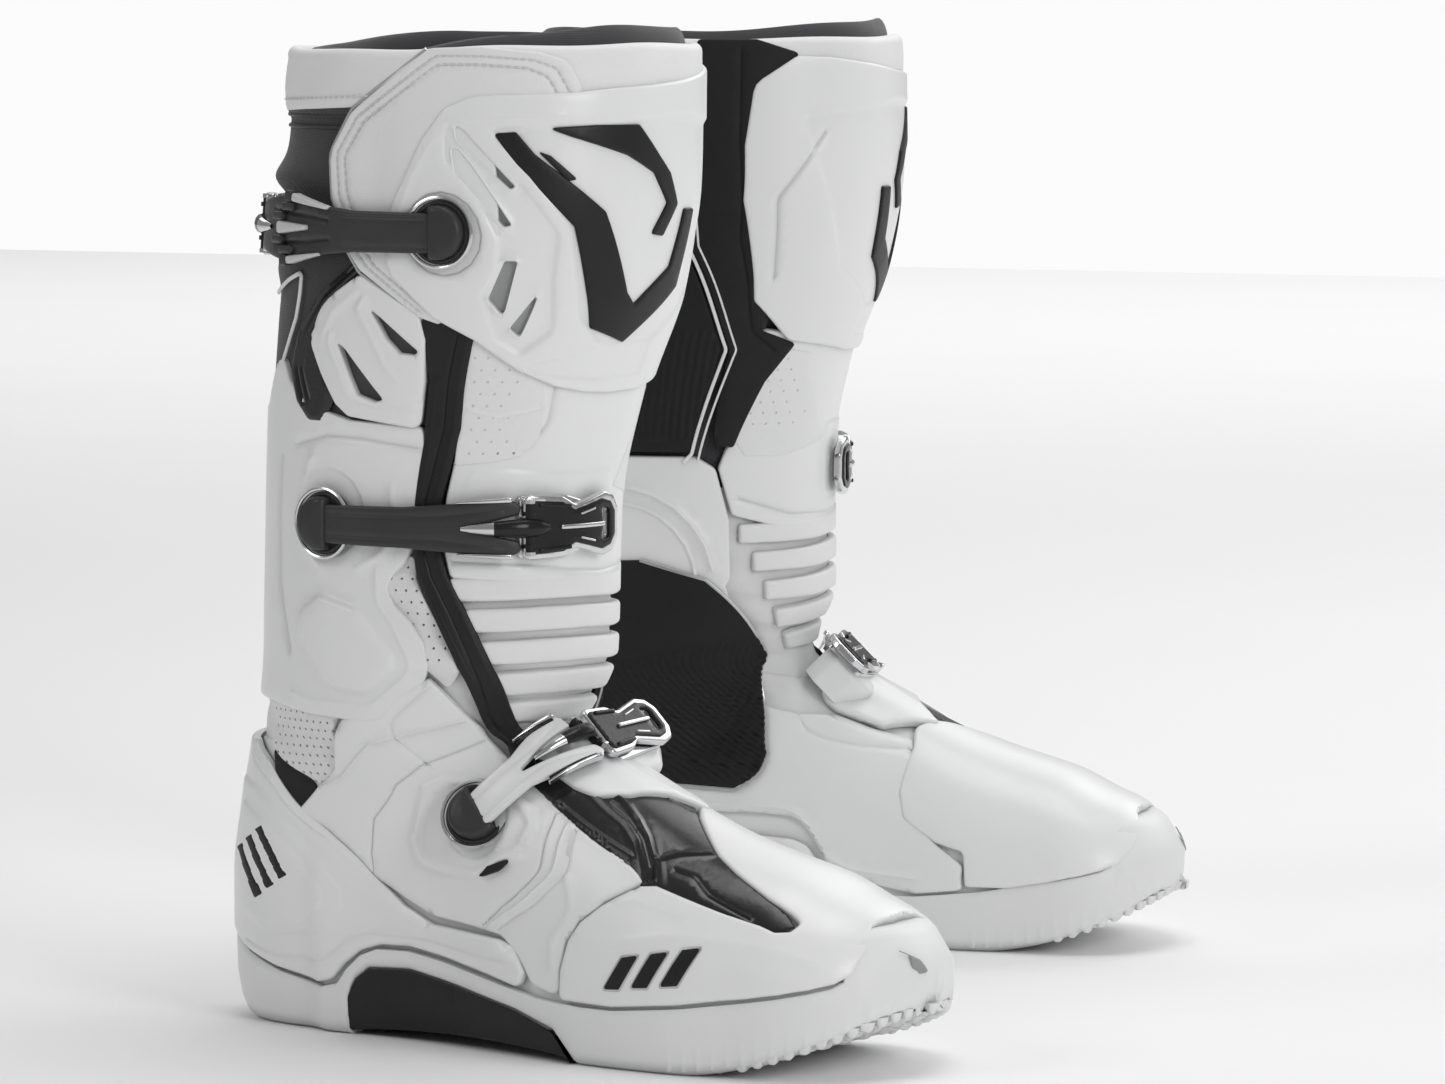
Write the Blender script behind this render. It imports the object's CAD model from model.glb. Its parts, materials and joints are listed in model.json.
"""Riding boots: the visual model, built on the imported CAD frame.

Every piece is made once, for one boot, in that boot's own millimetres, and stood twice: as the left boot
and, mirrored, as the right one. Boot millimetres are (x, y, z): x from heel to toe, y towards the outer
side, z up. A place on the boot's skin is (s, z): s runs from 0 at the front ridge to +1 at the back round
the outer side and to -1 round the inner side.
"""
import bpy
import json
import math
import numpy as np
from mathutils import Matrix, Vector, kdtree
from mathutils.geometry import delaunay_2d_cdt


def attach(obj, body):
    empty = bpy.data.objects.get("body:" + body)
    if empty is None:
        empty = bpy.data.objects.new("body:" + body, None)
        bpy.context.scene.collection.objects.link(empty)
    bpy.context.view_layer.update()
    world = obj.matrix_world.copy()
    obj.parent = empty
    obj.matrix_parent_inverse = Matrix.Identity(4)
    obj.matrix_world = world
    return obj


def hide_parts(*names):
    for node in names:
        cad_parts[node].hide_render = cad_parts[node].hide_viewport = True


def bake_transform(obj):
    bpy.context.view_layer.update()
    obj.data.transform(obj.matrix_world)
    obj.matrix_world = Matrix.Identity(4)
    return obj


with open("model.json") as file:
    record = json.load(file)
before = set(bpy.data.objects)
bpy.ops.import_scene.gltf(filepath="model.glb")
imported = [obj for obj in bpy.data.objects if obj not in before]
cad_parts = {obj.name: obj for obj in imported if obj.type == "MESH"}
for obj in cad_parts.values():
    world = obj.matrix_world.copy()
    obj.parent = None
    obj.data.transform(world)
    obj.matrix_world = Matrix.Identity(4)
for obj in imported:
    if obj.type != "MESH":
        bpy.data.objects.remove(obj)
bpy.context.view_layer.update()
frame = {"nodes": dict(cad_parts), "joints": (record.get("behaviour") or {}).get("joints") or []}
MM = 0.001
FULL_TURN = 2 * math.pi
PRICK_DEPTH = 1.1

# ---------------------------------------------------------------- the boots' places in the frame
JOINTS = {joint["name"]: joint for joint in frame["joints"]}
PIVOT_X, PIVOT_Z = 79.0, 155.0            # the ankle pivot in boot millimetres
ANKLE = ((PIVOT_X, 0.0, 122.0), (PIVOT_X, 0.0, 184.0))      # the soft ankle bends between these places


def boot_axes(side):
    """Origin (metres) and the three axes of one boot: heel to toe, towards the outer side, up."""
    joint = JOINTS[side + "_ankle"]
    hinge = np.array(joint["axis"], float)
    outward = -hinge if side == "right" else hinge
    forward = np.cross(hinge, [0.0, 0.0, 1.0])
    up = np.array([0.0, 0.0, 1.0])
    origin = np.array(joint["pos_m"], float) - MM * (PIVOT_X * forward + PIVOT_Z * up)
    return origin, np.array([forward, outward, up])


SIDES = ("right", "left")
PLACES = {side: boot_axes(side) for side in SIDES}


def to_world(points, side):
    """Boot millimetres to the frame's metres."""
    origin, axes = PLACES[side]
    return origin + MM * (np.asarray(points, float) @ axes)


# ---------------------------------------------------------------- the skin formula, as in the CAD
# the leg by height: z, the middle's x and y, half its length, half its width
COLUMN = np.array([
    (0, 52, 0, 50, 36), (25, 53, 0, 53, 39), (58, 55, 0, 55, 40), (90, 66, -1, 60, 46),
    (115, 76, -2, 64, 52), (150, 87, -3, 70.5, 57), (208, 87.5, -5, 70, 59), (250, 92, -7, 73.5, 62),
    (290, 101, -8.5, 79, 66), (330, 106, -10, 81, 69), (370, 107, -11.5, 80, 68.5),
    (392, 107.5, -12, 79.5, 68),
], float)
# the foot by length: x, the middle's y, half its width, the height of its top
FOREFOOT = np.array([
    (60, 0, 40, 150), (110, 1, 42, 140), (150, 3, 46, 121), (190, 4, 50.5, 100),
    (225, 3, 52.5, 84), (262, 0, 50.5, 73), (285, -2, 50.5, 66), (311, -4, 50.5, 66),
], float)
SOLE_LENGTH = 311.0
ROUND_START = 258.0                       # where the toe starts to round off
WELT = 22.0                               # the height where the foot is widest
BLEND = 9.0                               # how softly the leg runs into the foot


def curve(rows, column):
    """Smooth monotone curve through one column of a table."""
    xs, ys = rows[:, 0], rows[:, column]
    gap = np.diff(xs)
    slope = np.diff(ys) / gap
    tangent = np.zeros(len(xs))
    both = slope[:-1] * slope[1:]
    safe = np.where(both > 0, slope[:-1] + slope[1:], 1.0)
    tangent[1:-1] = np.where(both > 0, 2 * both / safe, 0.0)
    tangent[0], tangent[-1] = slope[0], slope[-1]

    def at(x):
        x = np.clip(x, xs[0], xs[-1])
        i = np.clip(np.searchsorted(xs, x, side="right") - 1, 0, len(gap) - 1)
        u = (x - xs[i]) / gap[i]
        rise = ys[i + 1] - ys[i]
        left, right = tangent[i] * gap[i], tangent[i + 1] * gap[i]
        return ys[i] + u * (left + u * (3 * rise - 2 * left - right + u * (left + right - 2 * rise)))
    return at


leg_x, leg_y, leg_a, leg_b = (curve(COLUMN, k) for k in (1, 2, 3, 4))
foot_y, foot_w, foot_t = (curve(FOREFOOT, k) for k in (1, 2, 3))


def toe_round(x, power):
    """How far the forefoot's half width and height have drawn in at x, from 1 to 0 at the toe tip."""
    u = np.clip((x - ROUND_START) / (SOLE_LENGTH - ROUND_START), 0, 1)
    return np.sqrt(np.maximum(1 - u ** power, 1e-6))


def skin(p):
    """Rough distance in millimetres from the boot's skin: negative inside."""
    x, y, z = p[..., 0], p[..., 1], p[..., 2]
    a, b = leg_a(z), leg_b(z)
    dx, dy = np.abs(x - leg_x(z)) / a, np.abs(y - leg_y(z)) / b
    leg = ((dx ** 2.3 + dy ** 2.3) ** (1 / 2.3) - 1) * np.minimum(a, b)
    half = foot_w(x) * toe_round(x, 2.3)
    rise = 8 + (foot_t(x) - WELT - 8) * toe_round(x, 2.6)
    across = np.abs(y - foot_y(x)) / np.maximum(half, 1)
    up = np.maximum(z - WELT, 0) / rise
    foot = ((across ** 2.4 + up ** 2.4) ** (1 / 2.4) - 1) * np.minimum(np.maximum(half, 6),
                                                                       np.maximum(rise, 6))
    foot = foot + np.maximum(FOREFOOT[0, 0] - x, 0) + np.maximum(x - SOLE_LENGTH, 0)
    mix = np.clip(0.5 + 0.5 * (foot - leg) / BLEND, 0, 1)
    return foot * (1 - mix) + leg * mix - BLEND * mix * (1 - mix)


def gradient(p):
    """Outward unit direction of the skin at each point."""
    step = 0.4
    g = np.stack([skin(p + step * e) - skin(p - step * e) for e in np.eye(3)], -1) / (2 * step)
    size = np.linalg.norm(g, axis=-1, keepdims=True)
    return g / np.maximum(size, 1e-9), size[..., 0]


def settle(p, rounds=2):
    """Moves points onto the skin along its gradient."""
    for _ in range(rounds):
        n, size = gradient(p)
        p = p - n * np.clip(skin(p) / np.maximum(size, 0.3), -4, 4)[..., None]
    return p


class SkinMap:
    """Rows of level outlines, each divided evenly from the front ridge to the back on both sides."""

    def __init__(self):
        columns = 360
        self.z = np.concatenate([np.arange(0, 56, 2.0), np.arange(56, 84, 0.5), np.arange(84, 130, 1.0),
                                 np.arange(130, 401, 2.0)])
        z = self.z
        back = leg_x(z) - leg_a(z)
        middle = np.stack([leg_x(z), leg_y(z), z], -1)
        tip = self.shoot(middle, np.tile([1.0, 0.0, 0.0], (len(z), 1)))[:, 0]
        room = np.maximum((tip - back) / 2 - 55, 0)
        centre = (tip + back) / 2
        level = leg_y(z) * (1 - np.minimum(room / 40, 1))
        turn = np.linspace(-math.pi, math.pi, 2 * columns + 1)
        start = np.stack([centre[:, None] + room[:, None] * np.cos(turn),
                          np.repeat(level[:, None], len(turn), 1), np.repeat(z[:, None], len(turn), 1)], -1)
        ray = np.stack([np.cos(turn), np.sin(turn), 0 * turn], -1)
        rim = self.shoot(start, np.broadcast_to(ray, start.shape))
        self.s = np.linspace(-1, 1, 2 * columns + 1)
        self.rows = np.zeros((len(z), len(self.s), 2))
        self.half = np.zeros((len(z), 2))
        for j in range(len(z)):
            step = np.linalg.norm(np.diff(rim[j, :, :2], axis=0), axis=1)
            run = np.concatenate([[0], np.cumsum(step)])
            run -= run[columns]
            share = np.where(run < 0, run / -run[0], run / run[-1])
            self.half[j] = -run[0], run[-1]
            for k in (0, 1):
                self.rows[j, :, k] = np.interp(self.s, share, rim[j, :, k])

    @staticmethod
    def shoot(start, ray):
        """Where rays that start inside the boot meet its skin, by halving."""
        near = np.zeros(start.shape[:-1])
        far = near + 200.0
        for _ in range(30):
            mid = (near + far) / 2
            inside = skin(start + ray * mid[..., None]) < 0
            near, far = np.where(inside, mid, near), np.where(inside, far, mid)
        return start + ray * near[..., None]

    def rough(self, s, z):
        """Point near the skin, read between the stored rows."""
        s = (np.asarray(s, float) + 1) % 2 - 1
        z = np.clip(np.asarray(z, float), self.z[0], self.z[-1])
        j = np.clip(np.searchsorted(self.z, z, side="right") - 1, 0, len(self.z) - 2)
        v = ((z - self.z[j]) / (self.z[j + 1] - self.z[j]))[..., None]
        grid = (s + 1) / (self.s[1] - self.s[0])
        i = np.clip(grid.astype(int), 0, len(self.s) - 2)
        u = (grid - i)[..., None]
        low = self.rows[j, i] * (1 - u) + self.rows[j, i + 1] * u
        high = self.rows[j + 1, i] * (1 - u) + self.rows[j + 1, i + 1] * u
        return np.concatenate([low * (1 - v) + high * v, z[..., None]], -1)

    def at(self, s, z):
        """Point of the skin and its outward direction."""
        p = settle(self.rough(s, z))
        return p, gradient(p)[0]

    def row(self, z):
        """The level outline at one height."""
        return self.rough(self.s, np.full(len(self.s), float(z)))

    def scale(self, z):
        """Half of the level outline's length at one height."""
        return float(np.interp(z, self.z, self.half.mean(1)))


MAP = SkinMap()


def outer(x, z):
    """Place on the outer side, from x and z."""
    row = MAP.row(z)
    keep = MAP.s >= 0
    xs, ss = row[keep, 0], MAP.s[keep]
    falling = np.minimum.accumulate(xs)
    return float(np.interp(-x, -falling, ss)), float(z)


def inner(x, z):
    """Place on the inner side, from x and z."""
    row = MAP.row(z)
    keep = MAP.s <= 0
    xs, ss = row[keep, 0], MAP.s[keep]
    rising = np.maximum.accumulate(xs)
    return float(np.interp(x, rising, ss)), float(z)


def front(y, z):
    """Place on the front of the boot, from y and z."""
    row = MAP.row(z)
    keep = np.abs(MAP.s) < 0.3
    return float(np.interp(y, np.maximum.accumulate(row[keep, 1]), MAP.s[keep])), float(z)


def rear(y, z):
    """Place on the back of the boot, from y and z, on the wrapped scale where the back is 1."""
    row = MAP.row(z)
    ss = np.concatenate([MAP.s[MAP.s > 0.72], MAP.s[MAP.s < -0.72] + 2])
    ys = np.concatenate([row[MAP.s > 0.72, 1], row[MAP.s < -0.72, 1]])
    order = np.argsort(ss)
    ss, ys = ss[order], np.minimum.accumulate(ys[order])
    return float(np.interp(-y, -ys, ss)), float(z)


def wrap(place):
    """The same place on the scale that runs on past the back."""
    return (place[0] + 2 if place[0] < 0 else place[0]), place[1]


# ---------------------------------------------------------------- flat geometry helpers
def ease(low, high, x):
    """Smooth step from 0 at low to 1 at high."""
    t = np.clip((np.asarray(x, float) - low) / (high - low), 0, 1)
    return t * t * (3 - 2 * t)


def arc(x, z, radius, first, last, count, tall=None):
    """Points on an arc round (x, z). tall is the radius along z where that differs."""
    tall = radius if tall is None else tall
    return [(x + radius * math.cos(a), z + tall * math.sin(a)) for a in np.linspace(first, last, count)]


def oval(x, z, radius, tall=None):
    """Sixteen points all round (x, z)."""
    return arc(x, z, radius, 0, FULL_TURN, 17, tall)[:-1]


def inside(points, loop):
    """True for each flat point that lies inside a closed loop."""
    x, y = points[:, 0][:, None], points[:, 1][:, None]
    a, b = loop, np.roll(loop, -1, axis=0)
    crosses = (a[:, 1] > y) != (b[:, 1] > y)
    dy = np.where(np.abs(b[:, 1] - a[:, 1]) < 1e-12, 1e-12, b[:, 1] - a[:, 1])
    at = a[:, 0] + (y - a[:, 1]) * (b[:, 0] - a[:, 0]) / dy
    return (np.sum(crosses & (x < at), axis=1) % 2) == 1


def far_from(points, path, closed):
    """Distance of each point from a path, in any number of dimensions."""
    a = path if closed else path[:-1]
    b = np.roll(path, -1, axis=0) if closed else path[1:]
    best = np.full(len(points), 1e9)
    along = b - a
    size = np.maximum((along ** 2).sum(1), 1e-12)
    for first in range(0, len(points), 2000):
        p = points[first:first + 2000]
        t = np.clip(np.einsum("nmk,mk->nm", p[:, None, :] - a[None], along) / size, 0, 1)
        gap = p[:, None, :] - (a[None] + t[..., None] * along[None])
        best[first:first + 2000] = np.sqrt((gap ** 2).sum(-1)).min(1)
    return best


def rounded(corners, radius, closed=True):
    """Path with its corners rounded. A corner may carry its own radius as a third number."""
    count = len(corners)
    path = []
    for k in range(count):
        here = np.array(corners[k][:2], float)
        r = corners[k][2] if len(corners[k]) > 2 else radius
        if not closed and k in (0, count - 1) or r <= 0:
            path.append(here)
            continue
        before = np.array(corners[k - 1][:2], float) - here
        after = np.array(corners[(k + 1) % count][:2], float) - here
        lb, la = np.linalg.norm(before), np.linalg.norm(after)
        if lb < 1e-9 or la < 1e-9:
            continue
        before, after = before / lb, after / la
        angle = math.acos(max(-1.0, min(1.0, float(before @ after))))
        if angle > math.pi - 0.06:
            path.append(here)
            continue
        cut = min(r / math.tan(angle / 2), 0.47 * lb, 0.47 * la)
        a, b = here + before * cut, here + after * cut
        steps = max(2, int((math.pi - angle) / 0.3))
        for i in range(steps + 1):
            t = i / steps
            path.append(a * (1 - t) ** 2 + here * 2 * t * (1 - t) + b * t * t)
    return np.array(path)


def divided(path, step, closed=True):
    """The same path with points no further apart than step."""
    out = []
    ends = len(path) if closed else len(path) - 1
    for k in range(ends):
        a, b = path[k], path[(k + 1) % len(path)]
        pieces = max(1, int(math.ceil(np.linalg.norm(b - a) / step)))
        for i in range(pieces):
            out.append(a + (b - a) * i / pieces)
    if not closed:
        out.append(path[-1])
    return np.array(out)


# ---------------------------------------------------------------- making Blender objects
class Shape:
    """Vertices, faces and a material number for each face, in boot millimetres."""

    def __init__(self):
        self.verts, self.faces, self.mats = [], [], []
        self.count = 0

    def add(self, verts, faces, mat=0):
        base = self.count
        self.verts.append(np.asarray(verts, float))
        self.count += len(verts)
        self.faces += [tuple(int(i) + base for i in f) for f in faces]
        self.mats += list(mat) if np.ndim(mat) else [mat] * len(faces)
        return self

    def points(self):
        return np.concatenate(self.verts)


def stand(name, shape, body, materials, replaces=(), sharp=38.0, blend=None):
    """Puts a shape on both boots. body and replaces name the CAD bodies and nodes without their side."""
    made = []
    points = shape.points()
    for side in SIDES:
        mesh = bpy.data.meshes.new("%s_%s" % (side, name))
        faces = shape.faces if side == "left" else [f[::-1] for f in shape.faces]
        mesh.from_pydata(to_world(points, side).tolist(), [], faces)
        mesh.polygons.foreach_set("material_index", np.array(shape.mats, np.int32))
        mesh.polygons.foreach_set("use_smooth", np.ones(len(faces), bool))
        mesh.set_sharp_from_angle(angle=math.radians(sharp))
        for material in materials:
            mesh.materials.append(material)
        mesh.update()
        piece = bpy.data.objects.new("%s_%s" % (side, name), mesh)
        bpy.context.scene.collection.objects.link(piece)
        if replaces:
            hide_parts(*["%s_%s" % (side, node) for node in replaces])
        if blend:
            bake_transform(piece)
        else:
            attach(piece, "%s_%s" % (side, body))
        made.append(piece)
    return made


# ---------------------------------------------------------------- panels on the skin
class OnSkin:
    """Flat millimetres for a panel on the skin: (u, z), with u = s times the local half outline."""

    def __init__(self, at_height):
        self.k = MAP.scale(at_height)

    def flat(self, place):
        return (place[0] * self.k,) + tuple(place[1:])

    def at(self, uv):
        return MAP.at(uv[:, 0] / self.k, uv[:, 1])


class Bump:
    """A raised or sunk line on a panel: a path of places, its half width and its height."""

    def __init__(self, path, half, height, radius=2.0):
        self.path, self.half, self.height, self.radius = path, half, height, radius


class Terrace:
    """A raised or sunk region on a panel: its outline, height, and the width of its bevel."""

    def __init__(self, outline, height, bevel=1.2, radius=2.0):
        self.outline, self.height, self.bevel, self.radius = outline, height, bevel, radius


def panel(outline, lift=0.0, thick=3.0, edge=1.0, step=3.0, radius=3.0, holes=(), bumps=(), terraces=(),
          pricks=(), extra=None, grid=None, crown=0.0, mat=0, shape=None):
    """Moulded piece on the skin. lift is the height of its face above the skin, thick its depth.

    The rim is rounded over edge, and crown raises the middle. holes are outlines cut through, pricks are
    (place, radius) blind holes with the next material in them, and extra is a function of (uv, p) that
    adds height.
    """
    outline = [tuple(p) for p in outline]
    if grid is None:
        grid = OnSkin(sum(p[1] for p in outline) / len(outline))
    loop = divided(rounded([grid.flat(p) for p in outline], radius), step)
    cuts = [divided(rounded([grid.flat(p) for p in hole], min(radius, 1.5)), step * 0.7) for hole in holes]
    loops = [loop] + cuts
    loops3 = [grid.at(l)[0] for l in loops]
    found = []
    tree_points = []

    def rim_gap(uv, p3):
        gap = far_from(p3, loops3[0], True)
        for l3 in loops3[1:]:
            gap = np.minimum(gap, far_from(p3, l3, True))
        return gap

    def allowed(uv):
        keep = inside(uv, loop)
        for c in cuts:
            keep &= ~inside(uv, c)
        return keep

    def offer(uv, clear, rim):
        """Takes the points that are inside, off the rim and clear of those already taken."""
        if not len(uv):
            return
        uv = uv[allowed(uv)]
        if not len(uv):
            return
        p3 = grid.at(uv)[0]
        keep = rim_gap(uv, p3) >= rim
        uv, p3 = uv[keep], p3[keep]
        taken = kdtree.KDTree(len(tree_points) + len(uv) + 1)
        for i, q in enumerate(tree_points):
            taken.insert(q, i)
        taken.balance()
        fresh = [k for k in range(len(uv)) if not tree_points or taken.find(p3[k])[2] >= clear]
        grown = kdtree.KDTree(len(fresh) + 1)
        for k in fresh:
            grown.insert(p3[k], k)
        grown.balance()
        dropped = set()
        for k in fresh:
            if k in dropped:
                continue
            for _, other, gap in grown.find_range(p3[k], clear * 0.8):
                if other > k:
                    dropped.add(other)
        for k in fresh:
            if k not in dropped:
                found.append(uv[k])
                tree_points.append(p3[k])

    for l, l3 in zip(loops, loops3):
        for q in l3:
            tree_points.append(q)
    ring_depths = [edge * 0.13, edge * 0.45, edge] if edge > 0 else []
    for depth in ring_depths:
        for l in loops:
            n = across(np.roll(l, -1, axis=0) - np.roll(l, 1, axis=0))
            ring = np.concatenate([l + n * depth, l - n * depth])
            offer(ring, depth * 0.35 if depth < edge else depth * 0.4, depth * 0.93)
    lines = []
    for b in bumps:
        path = divided(rounded([grid.flat(p) for p in b.path], b.radius, False), step * 0.6, False)
        lines.append((b, grid.at(path)[0]))
        n = across(np.vstack([path[1:], 2 * path[-1:] - path[-2:-1]]) - path)
        for share in (0, 0.5, -0.5, 1, -1):
            offer(path + n * share * b.half, b.half * 0.3, edge + 0.2)
    steps = []
    for t in terraces:
        path = divided(rounded([grid.flat(p) for p in t.outline], t.radius), step * 0.6)
        steps.append((t, path, grid.at(path)[0]))
        n = across(np.roll(path, -1, axis=0) - np.roll(path, 1, axis=0))
        for share in (0, 0.5, -0.5, 1, -1):
            offer(path + n * share * t.bevel, t.bevel * 0.3, edge + 0.2)
    spots = []
    for place, r in pricks:
        centre = np.array(grid.flat(place)[:2])
        spots.append((centre, r))
        ring = np.array([[math.cos(a), math.sin(a)] for a in np.linspace(0, FULL_TURN, 9)[:-1]])
        offer(centre[None], 0.05, r)
        offer(centre + ring * r * 0.8, 0.05, r)
        offer(centre + ring * r * 1.25, 0.05, r)
    low, high = loop.min(0), loop.max(0)
    zs = np.linspace(low[1], high[1], max(3, int((high[1] - low[1]) / 2)))
    uprights = [np.array([[low[0] + (high[0] - low[0]) * f, z] for z in zs]) for f in (0.25, 0.5, 0.75)]
    climb = np.mean([np.linalg.norm(np.diff(grid.at(line)[0], axis=0), axis=1) for line in uprights],
                    axis=0)
    climb = np.concatenate([[0], np.cumsum(climb)])
    hexes = []
    rows = int(climb[-1] / (step * 0.87)) + 2
    for r in range(rows):
        z = float(np.interp(r * step * 0.87 + 0.3 * step, climb, zs))
        us = np.arange(low[0] - step, high[0] + step, step) + (r % 2) * step / 2
        hexes.append(np.stack([us, np.full(len(us), z)], -1))
    offer(np.concatenate(hexes), step * 0.5, max(edge, 0.3) + step * 0.33)

    flat = np.array([q for l in loops for q in l] + found)
    edges, base = [], 0
    for l in loops:
        edges += [(base + i, base + (i + 1) % len(l)) for i in range(len(l))]
        base += len(l)
    out_v, _, out_f, _, _, _ = delaunay_2d_cdt([tuple(q) for q in flat], edges, [], 0, 1e-5)
    uv = np.array([tuple(v) for v in out_v])
    tris = np.array([f for f in out_f], int)
    centres = uv[tris].mean(1)
    keep = allowed(centres)
    area = np.cross(uv[tris[:, 1]] - uv[tris[:, 0]], uv[tris[:, 2]] - uv[tris[:, 0]])
    keep &= np.abs(area) > 1e-6
    tris, area, centres = tris[keep], area[keep], centres[keep]
    tris = np.where(area[:, None] > 0, tris, tris[:, ::-1])
    used = np.unique(tris)
    renumber = -np.ones(len(uv), int)
    renumber[used] = np.arange(len(used))
    uv, tris = uv[used], renumber[tris]

    p, n = grid.at(uv)
    gap = rim_gap(uv, p)
    height = np.full(len(uv), float(lift))
    if edge > 0:
        near = np.clip(edge - gap, 0, edge)
        height -= edge - np.sqrt(np.maximum(edge ** 2 - near ** 2, 0))
    if crown:
        height += crown * ease(0, 14.0, gap)
    for b, line in lines:
        d = np.clip(far_from(p, line, False) / b.half, 0, 1)
        height += b.height * (1 - d * d) ** 2 * ease(0, edge * 1.5 + 0.5, gap)
    for t, path, path3 in steps:
        d = far_from(p, path3, True) * np.where(inside(uv, path), 1, -1)
        height += t.height * ease(-t.bevel, t.bevel, d) * ease(0, edge * 1.5 + 0.5, gap)
    for centre, r in spots:
        height -= PRICK_DEPTH * (1 - ease(r * 0.75, r * 1.2, np.linalg.norm(uv - centre, axis=1)))
    if extra is not None:
        height += extra(uv, p)
    face = p + n * height[:, None]
    mats = np.full(len(tris), mat, int)
    for centre, r in spots:
        mats = np.where(np.linalg.norm(centres - centre, axis=1) < r * 0.8, mat + 1, mats)
    if shape is None:
        shape = Shape()
    under = p + n * (np.full(len(uv), lift - thick) if extra is None
                     else np.minimum(height, lift) - thick)[:, None]
    count = {}
    for a, b, c in tris.tolist():
        for e in ((a, b), (b, c), (c, a)):
            count[e] = 1
    rim = [e for e in count if (e[1], e[0]) not in count]
    size = len(uv)
    # (u, z) is right-handed seen from outside on the left boot
    faces = [tuple(t) for t in tris.tolist()]
    walls = [(b, a, a + size, b + size) for a, b in rim]
    floor = [(c + size, b + size, a + size) for a, b, c in tris.tolist()]
    return shape.add(np.concatenate([face, under]), faces + walls + floor,
                     list(mats) + [int(mats[0])] * len(walls) + list(mats))


def quads(rows, count, closed=True, joined=False):
    """Faces between rows of count vertices. closed joins each row's ends, joined the last row and first."""
    faces = []
    for r in range(rows if joined else rows - 1):
        above = (r + 1) % rows
        for i in range(count if closed else count - 1):
            j = (i + 1) % count
            faces.append((r * count + i, above * count + i, above * count + j, r * count + j))
    return faces


def ends(rows, count):
    """The two faces that close a tube made of rows of count vertices."""
    last = (rows - 1) * count
    return [tuple(range(count)), tuple(last + i for i in reversed(range(count)))]


def across(t):
    """Unit directions square to flat directions."""
    return np.stack([-t[:, 1], t[:, 0]], -1) / np.maximum(np.linalg.norm(t, axis=1, keepdims=True), 1e-9)


def sleeve(rings, s_from=-1.0, s_to=1.0, columns=240):
    """Skin-following band made of rings of (z, height above the skin), each a number or a function of s."""
    closed = s_to - s_from >= 2.0 - 1e-9
    s = np.linspace(s_from, s_to, columns + 1)[:-1] if closed else np.linspace(s_from, s_to, columns + 1)
    rows = []
    for z, height in rings:
        zs = (z(s) if callable(z) else z) + 0 * s
        hs = (height(s) if callable(height) else height) + 0 * s
        p, n = MAP.at(s, zs)
        rows.append(p + n * hs[:, None])
    count = len(s)
    faces = []
    for r in range(len(rows) - 1):
        for i in range(count if closed else count - 1):
            j = (i + 1) % count
            faces.append((r * count + i, r * count + j, (r + 1) * count + j, (r + 1) * count + i))
    return Shape().add(np.concatenate(rows), faces)


def frames(points, up):
    """Unit tangent, side and normal along a path; up gives the outward direction at each point."""
    ahead = np.gradient(points, axis=0)
    t = ahead / np.maximum(np.linalg.norm(ahead, axis=1, keepdims=True), 1e-9)
    n = up - t * (up * t).sum(1, keepdims=True)
    n /= np.maximum(np.linalg.norm(n, axis=1, keepdims=True), 1e-9)
    return t, np.cross(n, t), n


def sweep(points, up, profile, closed, mat, shape, scale=None):
    """Sweeps a closed (across, out) profile along a path of points."""
    t, side, n = frames(points, up)
    if closed:
        ahead = np.roll(points, -1, axis=0) - np.roll(points, 1, axis=0)
        t = ahead / np.linalg.norm(ahead, axis=1, keepdims=True)
        n = up - t * (up * t).sum(1, keepdims=True)
        n /= np.linalg.norm(n, axis=1, keepdims=True)
        side = np.cross(n, t)
    profile = np.asarray(profile, float)
    size = np.ones(len(points)) if scale is None else np.asarray(scale, float)
    verts = (points[:, None, :] + side[:, None, :] * (profile[None, :, :1] * size[:, None, None])
             + n[:, None, :] * (profile[None, :, 1:] * size[:, None, None]))
    m = len(profile)
    faces = quads(len(points), m, joined=closed)
    if not closed:
        faces += ends(len(points), m)
    return shape.add(verts.reshape(-1, 3), faces, mat)


def circle(radius, count=8, squash=1.0):
    turn = np.linspace(0, FULL_TURN, count + 1)[:-1]
    return np.stack([radius * np.cos(turn), radius * squash * np.sin(turn)], -1)


def on_skin(path, step, radius, height):
    """Points along a path of places, height above the skin, with their outward directions."""
    grid = OnSkin(sum(p[1] for p in path) / len(path))
    flat = divided(rounded([grid.flat(p) for p in path], radius, False), step, False)
    p, n = grid.at(flat)
    return p + n * height, n


STITCH_PITCH, STITCH_LENGTH, STITCH_WIDTH = 3.1, 2.1, 0.42


def stitches(path, height, shape, radius=2.0):
    """A row of sewn stitches along a path of places."""
    length, width = STITCH_LENGTH, STITCH_WIDTH
    pts, ns = on_skin(path, 1.0, radius, height)
    run = np.concatenate([[0], np.cumsum(np.linalg.norm(np.diff(pts, axis=0), axis=1))])
    count = max(2, int(run[-1] / STITCH_PITCH))
    where = (np.arange(count) + 0.5) * run[-1] / count
    outline = ((-0.5, 0.25), (-0.38, 0.8), (0.0, 1.0), (0.38, 0.8), (0.5, 0.25))
    ring = circle(1.0, 6)
    for w in where:
        a = np.array([np.interp(w - length / 2, run, pts[:, k]) for k in range(3)])
        b = np.array([np.interp(w + length / 2, run, pts[:, k]) for k in range(3)])
        up = np.array([np.interp(w, run, ns[:, k]) for k in range(3)])
        t = (b - a) / max(np.linalg.norm(b - a), 1e-9)
        up = up - t * (up @ t)
        up /= np.linalg.norm(up)
        side = np.cross(up, t)
        verts = []
        for along, r in outline:
            centre = (a + b) / 2 + t * along * length
            for c, o in ring:
                verts.append(centre + side * c * width * r + up * o * width * 0.8 * r)
        shape.add(verts, quads(len(outline), 6) + ends(len(outline), 6))
    return shape


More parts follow.
